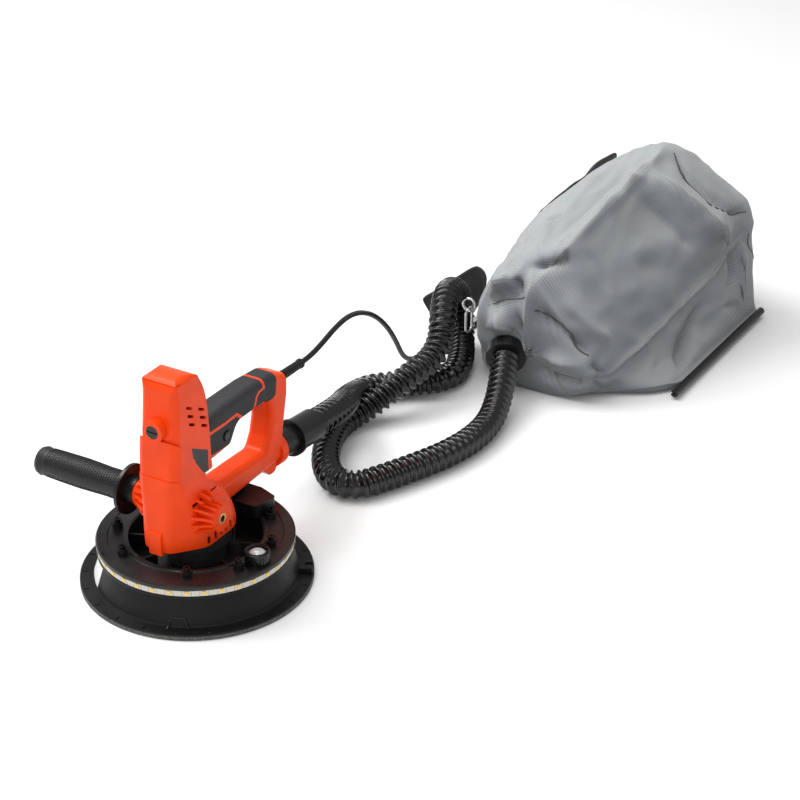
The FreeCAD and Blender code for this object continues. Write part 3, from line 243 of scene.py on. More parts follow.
def clear_dome():
    s = Surface("clear_dome", (0.85, 0.87, 0.88), 0.06, Coat_Weight=1.0,
                Transmission_Weight=0.55, IOR=1.48)
    s.bump(s.noise(120, 2), 0.0003, 0.3)
    s.vary_roughness(s.noise(300, 2), 0.03)
    return s.material


def metal(name, colour, roughness):
    """Bare or blackened metal with fine scratches."""
    scratch = 700
    s = Surface(name, colour, roughness, 1.0)
    s.vary_roughness(s.noise(scratch, 4), 0.08)
    s.grade(s.noise(90, 3), 0.85, 1.1)
    s.bump(s.noise(scratch * 1.5, 2), 0.00003, 0.4)
    return s.material


def plain(name, colour, roughness, metallic=0.0):
    """Inner parts: an uneven, lightly pitted surface."""
    s = Surface(name, colour, roughness, metallic)
    s.grade(s.noise(150, 4), 0.8, 1.2)
    s.bump(s.noise(800, 3), 0.00008, 0.5)
    return s.material


def hose_plastic():
    s = Surface("hose_plastic", (0.0032, 0.0032, 0.0034), 0.17, Specular_IOR_Level=0.55)
    s.grade(s.noise(80, 4), 0.7, 1.6)
    s.vary_roughness(s.noise(220, 4), 0.04)
    s.bump(s.noise(600, 3), 0.00004, 0.3)
    return s.material


def bag_fabric_painted_shade():
    """Grey nonwoven with a dotted grid of bonds, laid on the piece's own UV in metres.

    The colour also carries painted shade: it is darker the less a face turns upwards."""
    s = Surface("bag_fabric_painted_shade", (0.300, 0.314, 0.322), 0.82, Sheen_Weight=0.25,
                Sheen_Roughness=0.5)
    uv = s.node("ShaderNodeUVMap", uv_map="cloth").outputs["UV"]
    split = s.node("ShaderNodeSeparateXYZ")
    s.link(uv, split.inputs[0])
    pitch = 0.0027
    cells = []
    for axis in (0, 1):
        cell = s.math("FRACT", s.math("DIVIDE", split.outputs[axis], pitch))
        cells.append(s.math("ABSOLUTE", s.math("SUBTRACT", cell, 0.5)))
    reach = s.math("MAXIMUM", cells[0], cells[1])
    dot = s.node("ShaderNodeMapRange")
    s.link(reach, dot.inputs["Value"])
    s.set(dot, "From Min", 0.20)
    s.set(dot, "From Max", 0.36)
    soft = s.noise(11, 5, 0.55)
    fine = s.noise(1500, 3, 0.6)
    shade = s.math("MULTIPLY_ADD", dot.outputs["Result"], 0.40, s.math("MULTIPLY", soft, 0.35))
    shade = s.math("ADD", shade, s.math("MULTIPLY", fine, 0.25))
    s.grade(shade, 0.70, 1.16, 0.2, 0.85)
    # Painted shade: the base colour is multiplied darker the less a face turns upwards, so the
    # underside and front look shaded.
    facing = s.node("ShaderNodeSeparateXYZ")
    s.link(s.node("ShaderNodeNewGeometry").outputs["Normal"], facing.inputs[0])
    painted_shade = s.ramp(s.math("MULTIPLY_ADD", facing.outputs[2], 0.5, 0.5),
                    [(0.28, (0.36, 0.37, 0.39)), (0.50, (0.54, 0.56, 0.58)),
                     (0.70, (0.76, 0.77, 0.79)), (0.90, (1.0, 1.0, 1.0))])
    mix = s.node("ShaderNodeMix", data_type="RGBA", blend_type="MULTIPLY")
    s.set(mix, "Factor", 1.0)
    s.link(s.shader.inputs["Base Color"].links[0].from_socket, mix.inputs["A"])
    s.link(painted_shade, mix.inputs["B"])
    s.link(mix.outputs["Result"], s.shader.inputs["Base Color"])
    s.bump(dot.outputs["Result"], 0.00025, 0.55)
    s.bump(fine, 0.00012, 0.5)
    s.bump(s.noise(60, 4), 0.0016, 0.30)
    return s.material


def webbing_fabric(name, colour, pitch):
    """Woven fabric: two sets of threads crossing."""
    s = Surface(name, colour, 0.85, Sheen_Weight=0.4, Sheen_Roughness=0.5)
    x, y, z = s.axes()
    along = s.math("SINE", s.math("MULTIPLY", s.math("ADD", x, y), 2 * math.pi / pitch))
    up = s.math("SINE", s.math("MULTIPLY", s.math("SUBTRACT", z, s.math("MULTIPLY", y, 0.4)),
                               2 * math.pi / pitch))
    weave = s.math("MULTIPLY", along, up)
    s.bump(weave, 0.0002, 0.6)
    s.grade(s.noise(35, 4), 0.7, 1.6)
    s.bump(s.noise(700, 3), 0.0002, 0.5)
    return s.material


M = {
    "orange_plastic": moulded("orange_plastic", (0.86, 0.058, 0.003), 0.38,
                              Specular_IOR_Level=0.20),
    "grey_rubber": moulded("grey_rubber", (0.030, 0.030, 0.033), 0.62, 1800, 0.00012,
                           Specular_IOR_Level=0.25),
    "plate_black": moulded("plate_black", (0.010, 0.010, 0.011), 0.35,
                           Specular_IOR_Level=0.3),
    "head_black": turned_metal(),
    "skirt_black": moulded("skirt_black", (0.0055, 0.0055, 0.0058), 0.42, 1600,
                           0.00012, Specular_IOR_Level=0.22),
    "brush_grey": bristle(),
    "light_white": light_strip(),
    "light_yellow": chip_yellow(),
    "black_screw": metal("black_screw", (0.03, 0.03, 0.03), 0.35),
    "steel": metal("steel", (0.6, 0.6, 0.61), 0.28),
    "clear_dome": clear_dome(),
    "black_gloss": moulded("black_gloss", (0.0045, 0.0045, 0.0045), 0.18,
                           Specular_IOR_Level=0.4),
    "black_moulded": moulded("black_moulded", (0.0055, 0.0055, 0.0058), 0.34,
                             Specular_IOR_Level=0.35),
    "pad_plastic": moulded("pad_plastic", (0.02, 0.02, 0.02), 0.5),
    "foam": plain("foam", (0.04, 0.04, 0.04), 0.95),
    "abrasive": plain("abrasive", (0.22, 0.12, 0.06), 0.95),
    "cast_dark": plain("cast_dark", (0.035, 0.035, 0.038), 0.45, 0.3),
    "copper": metal("copper", (0.6, 0.26, 0.12), 0.3),
    "iron_core": plain("iron_core", (0.12, 0.12, 0.13), 0.5, 0.7),
    "carbon": plain("carbon", (0.02, 0.02, 0.02), 0.7),
    "brass": metal("brass", (0.62, 0.44, 0.18), 0.28),
    "knurled_black": moulded("knurled_black", (0.016, 0.017, 0.018), 0.50, 1500,
                             0.0001, Specular_IOR_Level=0.3),
    "hose_black": hose_plastic(),
    "bag_grey": bag_fabric_painted_shade(),
    "strap_black": webbing_fabric("strap_black", (0.011, 0.010, 0.0095), 0.0016),
    "webbing_brown": webbing_fabric("webbing_brown", (0.045, 0.037, 0.034), 0.0016),
    "nickel": metal("nickel", (0.75, 0.74, 0.72), 0.16),
    "cord_black": moulded("cord_black", (0.005, 0.005, 0.005), 0.42, 1600, 0.00008,
                          Specular_IOR_Level=0.3),
}

for entry in frame["record"]["subparts"]:
    node = frame["nodes"][entry["node"]]
    node.data.materials.clear()
    node.data.materials.append(M[entry["material_slot"]])
    auto_smooth(node, 32)


# --- camera, floor and light --------------------------------------------------------------
CAMERA_AT = (-1.87625, -1.39939, 1.50524)
CAMERA_TILT, CAMERA_TURN = 61.29, -59        # degrees
CAMERA_LENS, CAMERA_SENSOR = 108, 36         # millimetres


def make_camera():
    data = bpy.data.cameras.new("camera")
    data.lens = CAMERA_LENS
    data.sensor_width = CAMERA_SENSOR
    data.clip_end = 30
    camera = bpy.data.objects.new("camera", data)
    camera.location = CAMERA_AT
    camera.rotation_euler = (math.radians(CAMERA_TILT), 0, math.radians(CAMERA_TURN))
    bpy.context.scene.collection.objects.link(camera)
    bpy.context.scene.camera = camera


def make_stage():
    """Pale floor under a pale sky."""
    size = 14.0
    floor = mesh_piece("floor", [(-size, -size, 0), (size, -size, 0), (size, size, 0),
                                 (-size, size, 0)], [(0, 1, 2, 3)], body=None)
    s = Surface("floor_white", (0.87, 0.87, 0.87), 0.6, Specular_IOR_Level=0.25)
    s.grade(s.noise(1.5, 2), 0.995, 1.005)
    floor.data.materials.append(s.material)
    world = bpy.data.worlds.new("studio")
    world.use_nodes = True
    world.node_tree.nodes["Background"].inputs["Color"].default_value = (1, 1, 1, 1)
    world.node_tree.nodes["Background"].inputs["Strength"].default_value = 0.55
    bpy.context.scene.world = world
    bpy.context.scene.view_settings.view_transform = "Standard"


def area_light(name, place, target, size, power):
    data = bpy.data.lights.new(name, "AREA")
    data.shape = "RECTANGLE"
    data.size, data.size_y = size
    data.energy = power
    light = bpy.data.objects.new(name, data)
    light.location = place
    aim = Vector(target) - Vector(place)
    light.rotation_euler = aim.to_track_quat("-Z", "Y").to_euler()
    bpy.context.scene.collection.objects.link(light)


make_camera()
make_stage()
area_light("key", (0.1, 1.7, 2.2), (0.5, -0.05, 0.1), (1.5, 1.5), 62)
area_light("top", (0.3, 0.3, 2.6), (0.3, -0.05, 0.0), (2.2, 1.8), 34)
area_light("fill", (-2.2, -0.6, 1.2), (0.2, -0.05, 0.1), (1.2, 1.0), 9)


# --- hose ---------------------------------------------------------------------------------
HOSE_D = 0.036
HOSE_PITCH = 0.01105
HOSE_AROUND = 40          # points round the hose
RIB_DEPTH = 0.0046
RIB_STEPS = 11            # points along one rib
HOSE_ROUTE = [
    (0.2455, 0, 0.0800), (0.30120, 0, 0.07414), (0.340, 0.014, 0.062),
    (0.382, 0.037, 0.040), (0.424, 0.052, 0.024), (0.462, 0.050, 0.0181),
    (0.492, 0.020, 0.0181), (0.520, -0.014, 0.0181), (0.554, -0.026, 0.0181),
    (0.596, -0.010, 0.0181), (0.634, 0.012, 0.021), (0.655, 0.024, 0.044),
    (0.652, 0.027, 0.078), (0.624, 0.023, 0.100), (0.586, 0.011, 0.106),
    (0.552, -0.005, 0.094), (0.530, -0.016, 0.074), (0.502, -0.017, 0.057),
    (0.466, -0.009, 0.051), (0.432, 0.004, 0.038), (0.400, 0.022, 0.022),
    (0.364, 0.032, 0.0181), (0.328, 0.026, 0.0181), (0.290, 0.010, 0.0181),
    (0.256, -0.012, 0.0181), (0.233, -0.040, 0.0181), (0.240, -0.070, 0.0181),
    (0.272, -0.086, 0.0181), (0.312, -0.104, 0.0181), (0.358, -0.122, 0.0181),
    (0.408, -0.132, 0.0181), (0.458, -0.130, 0.0184), (0.500, -0.119, 0.028),
    (0.536, -0.105, 0.042), (0.566, -0.092, 0.051)]


def route_curve(name, route):
    """A NURBS curve with the route's points as its control points."""
    curve = bpy.data.curves.new(name, "CURVE")
    curve.dimensions = "3D"
    curve.resolution_u = 24
    spline = curve.splines.new("NURBS")
    spline.points.add(len(route) - 1)
    for point, place in zip(spline.points, route):
        point.co = (*place, 1)
    spline.order_u = 3
    spline.use_endpoint_u = True
    return curve


def curve_points(curve):
    """Points along the curve's own line."""
    holder = bpy.data.objects.new("line", curve)
    bpy.context.scene.collection.objects.link(holder)
    mesh = bpy.data.meshes.new_from_object(holder)
    points = [v.co.copy() for v in mesh.vertices]
    bpy.data.objects.remove(holder)
    bpy.data.meshes.remove(mesh)
    return points


def evenly(points, step):
    """The same line again with points a fixed step apart."""
    out = [points[0]]
    need = step
    for a, b in zip(points, points[1:]):
        length = (b - a).length
        while length and need <= length:
            out.append(a.lerp(b, need / length))
            need += step
        need -= length
    return out


def tube_along(path, around, radius):
    """Points and quads of a tube; radius takes the distance along and the angle round it."""
    tangent = (path[1] - path[0]).normalized()
    side = tangent.orthogonal().normalized()
    points, travelled = [], 0.0
    for i, centre in enumerate(path):
        before, after = path[max(i - 1, 0)], path[min(i + 1, len(path) - 1)]
        new = (after - before).normalized()
        side = tangent.rotation_difference(new) @ side
        side = (side - new * side.dot(new)).normalized()
        tangent = new
        other = tangent.cross(side)
        if i:
            travelled += (centre - path[i - 1]).length
        for k in range(around):
            turn = 2 * math.pi * k / around
            r = radius(travelled, turn)
            points.append(centre + (side * math.cos(turn) + other * math.sin(turn)) * r)
    return points, grid_faces(len(path), around, True)


def rib(travelled, turn):
    """Corrugation: round-topped ribs that climb as a helix, with narrow valleys."""
    phase = (travelled / HOSE_PITCH - turn / (2 * math.pi)) % 1.0
    wave = 0.5 - 0.5 * math.cos(2 * math.pi * phase)
    return HOSE_D / 2 - RIB_DEPTH * (1 - wave ** 1.35)


def make_hose():
    curve = route_curve("hose_route", HOSE_ROUTE)
    line = curve_points(curve)
    path = evenly(line, HOSE_PITCH / RIB_STEPS)
    points, faces = tube_along(path, HOSE_AROUND, rib)
    hose = mesh_piece("hose", points, faces, M["hose_black"])
    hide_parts("dust_hose")


make_hose()

# --- mains lead ---------------------------------------------------------------------------
CORD_D = 0.0068
CORD_ROUTE = [
    (0.2234, 0, 0.1746), (0.244, 0.0005, 0.174), (0.272, 0.002, 0.1775),
    (0.308, 0.005, 0.1835), (0.348, 0.012, 0.180), (0.390, 0.020, 0.166),
    (0.436, 0.028, 0.140), (0.478, 0.035, 0.104), (0.512, 0.042, 0.066),
    (0.540, 0.048, 0.028), (0.574, 0.053, 0.006), (0.624, 0.050, 0.0035),
    (0.680, 0.039, 0.0035), (0.738, 0.033, 0.0035), (0.796, 0.0315, 0.0035),
    (0.854, 0.034, 0.0035), (0.910, 0.045, 0.0035), (0.962, 0.066, 0.0035)]
COIL_CENTRE = (1.010, 0.030)
COIL_TURNS = ((0.0450, 0.0034), (0.0381, 0.0034), (0.0312, 0.0034),
              (0.0310, 0.0103), (0.0380, 0.0103), (0.0449, 0.0103),
              (0.0450, 0.0172), (0.0381, 0.0172), (0.0312, 0.0172))
COIL_STEPS = 16
COIL_START = 97           # degrees round the coil where the first turn begins
COIL_EXIT = [(1.002, 0.0610, 0.0172), (1.022, 0.0630, 0.0172), (1.042, 0.0520, 0.0160)]
TAIL = [(1.0549, 0.018, 0.0118), (1.0550, -0.004, 0.0106), (1.0550, -0.026, 0.0105)]


def make_lead():
    """The lead: over to the floor, behind the bag, round the coil's turns and to the plug."""
    route = [Vector(p) for p in CORD_ROUTE]
    cx, cy = COIL_CENTRE
    total = len(COIL_TURNS) * COIL_STEPS
    for i in range(total):
        along = i / COIL_STEPS
        level = min(int(along), len(COIL_TURNS) - 1)
        after = min(level + 1, len(COIL_TURNS) - 1)
        mix = smoothstep(0.75, 1.0, along - level)
        r = COIL_TURNS[level][0] * (1 - mix) + COIL_TURNS[after][0] * mix
        z = COIL_TURNS[level][1] * (1 - mix) + COIL_TURNS[after][1] * mix
        turn = math.radians(COIL_START) - 2 * math.pi * along
        route.append(Vector((cx + r * math.cos(turn), cy + r * math.sin(turn), z)))
    route += [Vector(p) for p in COIL_EXIT + TAIL]
    curve = route_curve("mains_lead_curve", route)
    line = curve_points(curve)
    curve.bevel_depth = CORD_D / 2
    curve.bevel_resolution = 5
    curve.use_fill_caps = True
    curve.resolution_u = 8
    curve.materials.append(M["cord_black"])
    lead = bpy.data.objects.new("lead", curve)
    bpy.context.scene.collection.objects.link(lead)
    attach(lead, BODY)
    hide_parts("mains_lead", "lead_coil", "lead_tail")


make_lead()

# --- dust bag -----------------------------------------------------------------------------
# Outlines across the bag in millimetres, (y, z): from the clipped mouth up the front, over
# the ridge, down the back and along the floor.
BAG_RINGS = {
    592: [(-150, 2), (-176, 8), (-190, 22), (-199, 44), (-178, 90), (-120, 158),
          (-86, 156), (-52, 138), (-38, 84), (-46, 24), (-70, 2), (-110, 0)],
    622: [(-190, 1), (-206, 8), (-212, 26), (-215, 50), (-196, 118), (-150, 204),
          (-106, 190), (-56, 158), (-24, 90), (-28, 16), (-50, 2), (-120, 0)],
    664: [(-262, 5), (-263, 12), (-240, 28), (-226, 54), (-212, 126), (-155, 215),
          (-110, 204), (-62, 172), (-14, 96), (-14, 14), (-38, 1), (-130, 0)],
    700: [(-284, 6), (-284, 12), (-252, 30), (-234, 60), (-220, 136), (-162, 226),
          (-115, 214), (-68, 188), (-5, 100), (-6, 12), (-30, 1), (-140, 0)],
    760: [(-284, 6), (-284, 12), (-262, 38), (-244, 77), (-234, 150), (-166, 237),
          (-118, 222), (-66, 195), (6, 106), (8, 12), (-20, 1), (-140, 0)],
    800: [(-284, 6), (-284, 12), (-266, 42), (-250, 92), (-244, 166), (-170, 246),
          (-120, 228), (-66, 199), (17, 110), (22, 12), (-10, 1), (-140, 0)],
    890: [(-284, 6), (-284, 12), (-272, 56), (-262, 124), (-262, 184), (-168, 256),
          (-124, 240), (-80, 208), (10, 110), (13, 12), (-20, 1), (-140, 0)],
    944: [(-284, 6), (-284, 12), (-274, 64), (-268, 139), (-256, 170), (-206, 196),
          (-150, 190), (-92, 165), (-10, 90), (-6, 12), (-30, 1), (-140, 0)],
    966: [(-236, 2), (-240, 10), (-246, 60), (-244, 110), (-228, 136), (-190, 158),
          (-150, 153), (-104, 130), (-44, 80), (-40, 12), (-60, 1), (-140, 0)]}
BAG_CREASES = {0: 0.1, 1: 0.1, 3: 0.35, 5: 0.3, 7: 0.7}    # how soft an edge is, 1 round
BAG_AROUND, BAG_ALONG, BAG_CAP = 15, 13, 9
BAG_FLOOR = 0.0005        # lowest height of the cloth


def hermite(a, b, ta, tb, t):
    return (a * (2 * t ** 3 - 3 * t ** 2 + 1) + ta * (t ** 3 - 2 * t ** 2 + t)
            + b * (3 * t ** 2 - 2 * t ** 3) + tb * (t ** 3 - t ** 2))


def ring_points(outline):
    """A closed smooth outline through the ring's points, sharper at the creases."""
    count, out = len(outline), []
    points = [Vector(p) for p in outline]
    tangents = []
    for i, p in enumerate(points):
        before, after = points[i - 1], points[(i + 1) % count]
        along = (after - before).normalized()
        tangents.append(along * 0.9 * BAG_CREASES.get(i, 0.8))
    for i in range(count):
        a, b = points[i], points[(i + 1) % count]
        reach = (b - a).length
        for k in range(BAG_AROUND):
            out.append(hermite(a, b, tangents[i] * reach, tangents[(i + 1) % count] * reach,
                               k / BAG_AROUND))
    return out


def bag_rows():
    """Rows of points from the inlet end to the far end, both closed by rounded caps."""
    stations = sorted(BAG_RINGS)
    rings = [ring_points(BAG_RINGS[x]) for x in stations]
    rows = []
    for i in range(len(stations) - 1):
        a, b = stations[i], stations[i + 1]
        before, after = max(i - 1, 0), min(i + 2, len(stations) - 1)
        for k in range(BAG_ALONG + (i == len(stations) - 2)):
            t = k / BAG_ALONG
            row = []
            for j in range(len(rings[0])):
                ta = (rings[i + 1][j] - rings[before][j]) * ((b - a) / (b - stations[before]))
                tb = (rings[after][j] - rings[i][j]) * ((b - a) / (stations[after] - a))
                p = hermite(rings[i][j], rings[i + 1][j], ta * 0.8, tb * 0.8, t)
                row.append(Vector((a + (b - a) * t, p.x, max(p.y, 0.4))) * 0.001)
            rows.append(row)

    def cap(row, depth):
        shrink = 0.97
        middle = sum(row, Vector()) / len(row)
        out = []
        for k in range(1, BAG_CAP + 1):
            turn = math.pi / 2 * k / BAG_CAP
            size = 1 - (1 - math.cos(turn)) * shrink
            out.append([middle + (p - middle) * size + Vector((depth * math.sin(turn), 0, 0))
                        for p in row])
        return out

    return cap(rows[0], -0.008)[::-1] + rows + cap(rows[-1], 0.003)


def cloth_uv(piece, rows, columns):
    """UV in metres along the cloth: rows run along the bag, columns round it."""
    points = [v.co for v in piece.data.vertices]
    mid = rows // 2
    round_at, total = [0.0], 0.0
    for c in range(columns):
        a = points[mid * columns + c]
        b = points[mid * columns + (c + 1) % columns]
        total += (b - a).length
        round_at.append(total)
    along_at = [0.0]
    for r in range(1, rows):
        step = sum((points[r * columns + c] - points[(r - 1) * columns + c]).length
                   for c in range(0, columns, 12)) / (columns // 12)
        along_at.append(along_at[-1] + step)
    layer = piece.data.uv_layers.new(name="cloth")
    for polygon in piece.data.polygons:
        cells = [divmod(piece.data.loops[i].vertex_index, columns)
                 for i in polygon.loop_indices]
        seam = max(c for r, c in cells) - min(c for r, c in cells) > columns // 2
        for i, (r, c) in zip(polygon.loop_indices, cells):
            layer.data[i].uv = (along_at[r], round_at[columns if seam and c == 0 else c])


def distance_to_line(p, line):
    """(distance, share along) from a point to a polyline."""
    best, place, travelled = 1e9, 0.0, 0.0
    total = sum((b - a).length for a, b in zip(line, line[1:]))
    for a, b in zip(line, line[1:]):
        d = b - a
        t = min(max((p - a).dot(d) / d.length_squared, 0), 1)
        gap = (p - a - d * t).length
        if gap < best:
            best, place = gap, (travelled + t * d.length) / total
        travelled += d.length
    return best, place


# Most points of the folds and seams below were computed by a program, not chosen by hand.
BAG_FOLDS = [   # polyline in millimetres, half-width and height of the fold in metres
    ([(860, -168, 256), (775, -162, 240), (689, -158, 224), (620, -149, 202)], 0.007, 0.004),
    ([(799, -172, 244), (813, -211, 214), (836, -253, 173), (880, -262, 142)], 0.017, 0.011),
    ([(770, -176, 225), (780, -215, 195), (800, -252, 150)], 0.022, -0.007),
    ([(869, -179, 250), (851, -204, 230), (855, -239, 200), (880, -263, 177),
      (914, -266, 166)], 0.005, -0.006),
    ([(919, -267, 131), (836, -255, 104), (750, -240, 76), (656, -224, 50),
      (613, -211, 35)], 0.005, 0.006),
    ([(810, -257, 67), (788, -259, 52), (743, -263, 30), (709, -274, 18)], 0.012, -0.010),
    ([(872, -258, 121), (889, -264, 103), (885, -269, 78), (864, -269, 60)], 0.008, -0.006),
    ([(905, -266, 125), (915, -270, 95), (905, -272, 60)], 0.007, 0.006),
    ([(854, -271, 48), (901, -279, 34)], 0.006, -0.005),
    ([(586, -118, 120), (588, -141, 114), (587, -156, 107), (592, -178, 90),
      (599, -199, 68)], 0.005, -0.006),
    ([(604, -150, 140), (606, -175, 120), (616, -200, 96), (630, -215, 76)], 0.014, 0.006),
    ([(597, -200, 60), (613, -211, 37)], 0.005, -0.005),
    ([(599, -109, 166), (589, -116, 148), (586, -116, 120), (584, -117, 86),
      (584, -116, 56)], 0.008, 0.008),
    ([(590, -90, 160), (588, -96, 150), (587, -98, 136)], 0.007, -0.007),
    ([(586, -58, 111), (587, -72, 122), (587, -93, 131), (587, -110, 134)], 0.0045, -0.009),
    ([(585, -60, 92), (585, -92, 98)], 0.020, 0.014),
    ([(585, -104, 104), (585, -106, 78)], 0.006, -0.008),
    ([(590, -60, 140), (588, -80, 158)], 0.010, 0.007),
    ([(618, -148, 201), (615, -151, 187), (607, -137, 182), (604, -121, 176),
      (604, -106, 172)], 0.007, -0.007),
    ([(640, -160, 190), (650, -175, 170), (650, -195, 140)], 0.010, -0.005),
    ([(614, -211, 33), (598, -201, 30), (585, -184, 33), (583, -161, 34), (584, -136, 37),
      (586, -114, 35)], 0.007, -0.009),
    ([(600, -190, 52), (588, -170, 58), (586, -140, 62)], 0.012, 0.007),
    ([(583, -146, 37), (584, -158, 22), (590, -168, 10)], 0.004, -0.005),
    ([(605, -203, 28), (624, -208, 9)], 0.004, -0.004),
    ([(698, -106, 207), (698, -80, 195), (715, -62, 182)], 0.008, -0.005),
    ([(792, -173, 241), (775, -165, 241), (739, -165, 231), (696, -160, 226)], 0.006, 0.005),
    ([(640, -120, 200), (700, -128, 218), (760, -132, 228), (820, -140, 240)], 0.010, -0.004),
    ([(650, -90, 186), (710, -104, 206), (770, -100, 216), (840, -110, 228)], 0.009, 0.004),
    ([(620, -110, 188), (660, -100, 196), (700, -84, 196)], 0.006, 0.004),
    ([(690, -195, 175), (740, -215, 165), (800, -230, 165)], 0.020, 0.004),
    ([(660, -200, 130), (700, -215, 118), (760, -232, 118)], 0.018, 0.004),
    ([(700, -205, 160), (740, -222, 142), (770, -232, 128)], 0.016, -0.004)]
BAG_SEAMS = [   # sewn lines, in millimetres, and the half-width of their thread line
    ([(869, -179, 250), (858, -192, 240), (851, -204, 230), (851, -223, 214),
      (855, -239, 200), (866, -253, 187), (880, -263, 177), (900, -265, 170),
      (920, -264, 164)], 0.0008),
    ([(586, -118, 120), (587, -129, 121), (588, -141, 114), (587, -156, 107),
      (588, -168, 100), (592, -178, 90), (595, -189, 76), (599, -199, 68)], 0.0009),
    ([(930, -270, 129), (928, -271, 113), (938, -273, 98), (948, -273, 84)], 0.0008),
    ([(586, -58, 111), (587, -72, 122), (587, -93, 131), (587, -112, 136)], 0.0007)]


FOLD_GAIN = 2.0
BROAD_RISE, SHARP_RISE, FINE_RISE = 0.0034, 0.0030, 0.0006
BAG_FOLD_LINES = [([Vector(q) * 0.001 for q in line], width, rise)
                  for line, width, rise in BAG_FOLDS]


def wrinkle(p):
    """Height of the creases in the cloth at a point, in metres."""
    broad = noise.noise(Vector((p.x * 9, p.y * 16, p.z * 16)) + Vector((3.1, 7.7, 1.3)))
    sharp = noise.noise(Vector((p.x * 16, p.y * 30, p.z * 26)) + Vector((9.1, 2.2, 5.5)))
    fine = noise.noise(Vector((p.x * 55, p.y * 80, p.z * 70)))
    height = BROAD_RISE * broad + SHARP_RISE * (0.5 - abs(sharp) * 2.2) + FINE_RISE * fine
    for line, width, rise in BAG_FOLD_LINES:
        gap, place = distance_to_line(p, line)
        if gap < width * 3:
            taper = min(1, 4 * place + 0.15, 4 * (1 - place) + 0.15)
            height += FOLD_GAIN * rise * taper * math.exp(-(gap / (0.75 * width)) ** 1.3)
    return height


def make_bag():
    rows = bag_rows()
    columns = len(rows[0])
    points = [p for row in rows for p in row]
    faces = grid_faces(len(rows), columns, True)
    faces.append(list(range(columns)))
    faces.append(list(range((len(rows) - 1) * columns, len(rows) * columns))[::-1])
    bag = mesh_piece("bag", points, faces, M["bag_grey"])
    cloth_uv(bag, len(rows), columns)
    mesh = bag.data
    normals = [v.normal.copy() for v in mesh.vertices]
    if Vector((0, 0, 1)).dot(normals[(len(rows) // 2) * columns + 5 * BAG_AROUND]) < 0:
        mesh.flip_normals()
        normals = [-n for n in normals]
    for v, n in zip(mesh.vertices, normals):
        held = smoothstep(0.004, 0.03, v.co.z) * smoothstep(-0.284, -0.262, v.co.y)
        v.co += n * wrinkle(v.co) * (0.25 + 0.75 * held if v.co.z > 0.012 else held)
        v.co.z = max(v.co.z, BAG_FLOOR)
    mesh.update()
    relax_cloth(bag)
    tuck_mouth(bag)
    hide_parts("dust_bag")
    return bag


CLOTH_FRAMES = 6
COLLAR_AT = Vector((0.576, -0.088, 0.054))
CLIP_Y, CLIP_Z = -0.2900, 0.0090
SLOT_HALF = 0.0012        # half the thickness of the cloth held in the clip's slot
CLOTH_REACH = 0.0025       # farthest a point of the bag may move in the simulation


def tuck_mouth(bag):
    """Presses the bag's mouth flat where the clip's slot holds it."""
    for v in bag.data.vertices:
        near = 1 - smoothstep(CLIP_Y + 0.0065, CLIP_Y + 0.016, v.co.y)
        flat = CLIP_Z + max(-SLOT_HALF, min(SLOT_HALF, v.co.z - CLIP_Z))
        v.co.z += (flat - v.co.z) * near
    bag.data.update()


def relax_cloth(bag):
    """Blows the cloth up a little with the mouth, the inlet and the floor side held."""
    mesh = bag.data
    start = [v.co.copy() for v in mesh.vertices]
    held = bag.vertex_groups.new(name="held")
    for v in mesh.vertices:
        inlet = 1 - smoothstep(0.03, 0.06, (v.co - COLLAR_AT).length)
        mouth = 1 - smoothstep(-0.283, -0.270, v.co.y)
        floor = 1 - smoothstep(0.003, 0.012, v.co.z)
        held.add([v.index], max(inlet, mouth, floor), "REPLACE")
    cloth = bag.modifiers.new("cloth", "CLOTH")
    settings = cloth.settings
    settings.quality = 5
    settings.mass = 0.25
    settings.tension_stiffness = 12
    settings.compression_stiffness = 12
    settings.shear_stiffness = 6
    settings.bending_stiffness = 1.5
    settings.use_pressure = True
    settings.uniform_pressure_force = 0.5
    settings.vertex_group_mass = "held"
    settings.effector_weights.gravity = 0
    cloth.collision_settings.use_collision = False
    cloth.point_cache.frame_start = 1
    cloth.point_cache.frame_end = CLOTH_FRAMES
    scene = bpy.context.scene
    for frame_number in range(1, CLOTH_FRAMES + 1):
        scene.frame_set(frame_number)
    done = bag.evaluated_get(bpy.context.evaluated_depsgraph_get())
    moved = [v.co.copy() for v in done.data.vertices]
    bag.modifiers.remove(cloth)
    bag.vertex_groups.clear()
    scene.frame_set(1)
    for v, a, b in zip(mesh.vertices, start, moved):
        shift = b - a
        if shift.length > CLOTH_REACH:
            shift *= CLOTH_REACH / shift.length
        v.co = a + shift
        v.co.z = max(v.co.z, BAG_FLOOR)
    mesh.update()


BAG = make_bag()


def surface_finder(piece):
    """Finds the nearest point on the piece as it stands."""
    points = [piece.matrix_world @ v.co for v in piece.data.vertices]
    return BVHTree.FromPolygons(points, [list(p.vertices) for p in piece.data.polygons])


def smooth_line(points, step):
    """Points a step apart on a smooth curve through the given ones."""
    points = [Vector(p) for p in points]
    out = []
    for i in range(len(points) - 1):
        a, b = points[i], points[i + 1]
        ta = (b - points[max(i - 1, 0)]) * 0.5
        tb = (points[min(i + 2, len(points) - 1)] - a) * 0.5
        out += [hermite(a, b, ta, tb, k / 8) for k in range(8)]
    return evenly(out + [points[-1]], step)


def thread_line(name, finder, line, half, material):
    """A sewn line as a low bead along a surface."""
    path = []
    for p in smooth_line(line, 0.003):
        place, normal = finder.find_nearest(p)[:2]
        path.append(place + normal * half * 0.2)
    for _ in range(3):
        path = [path[0]] + [(a + b * 2 + c) / 4
                            for a, b, c in zip(path, path[1:], path[2:])] + [path[-1]]
    points, faces = tube_along(path, 6, lambda travelled, turn: half)
    return mesh_piece(name, points, faces, material)


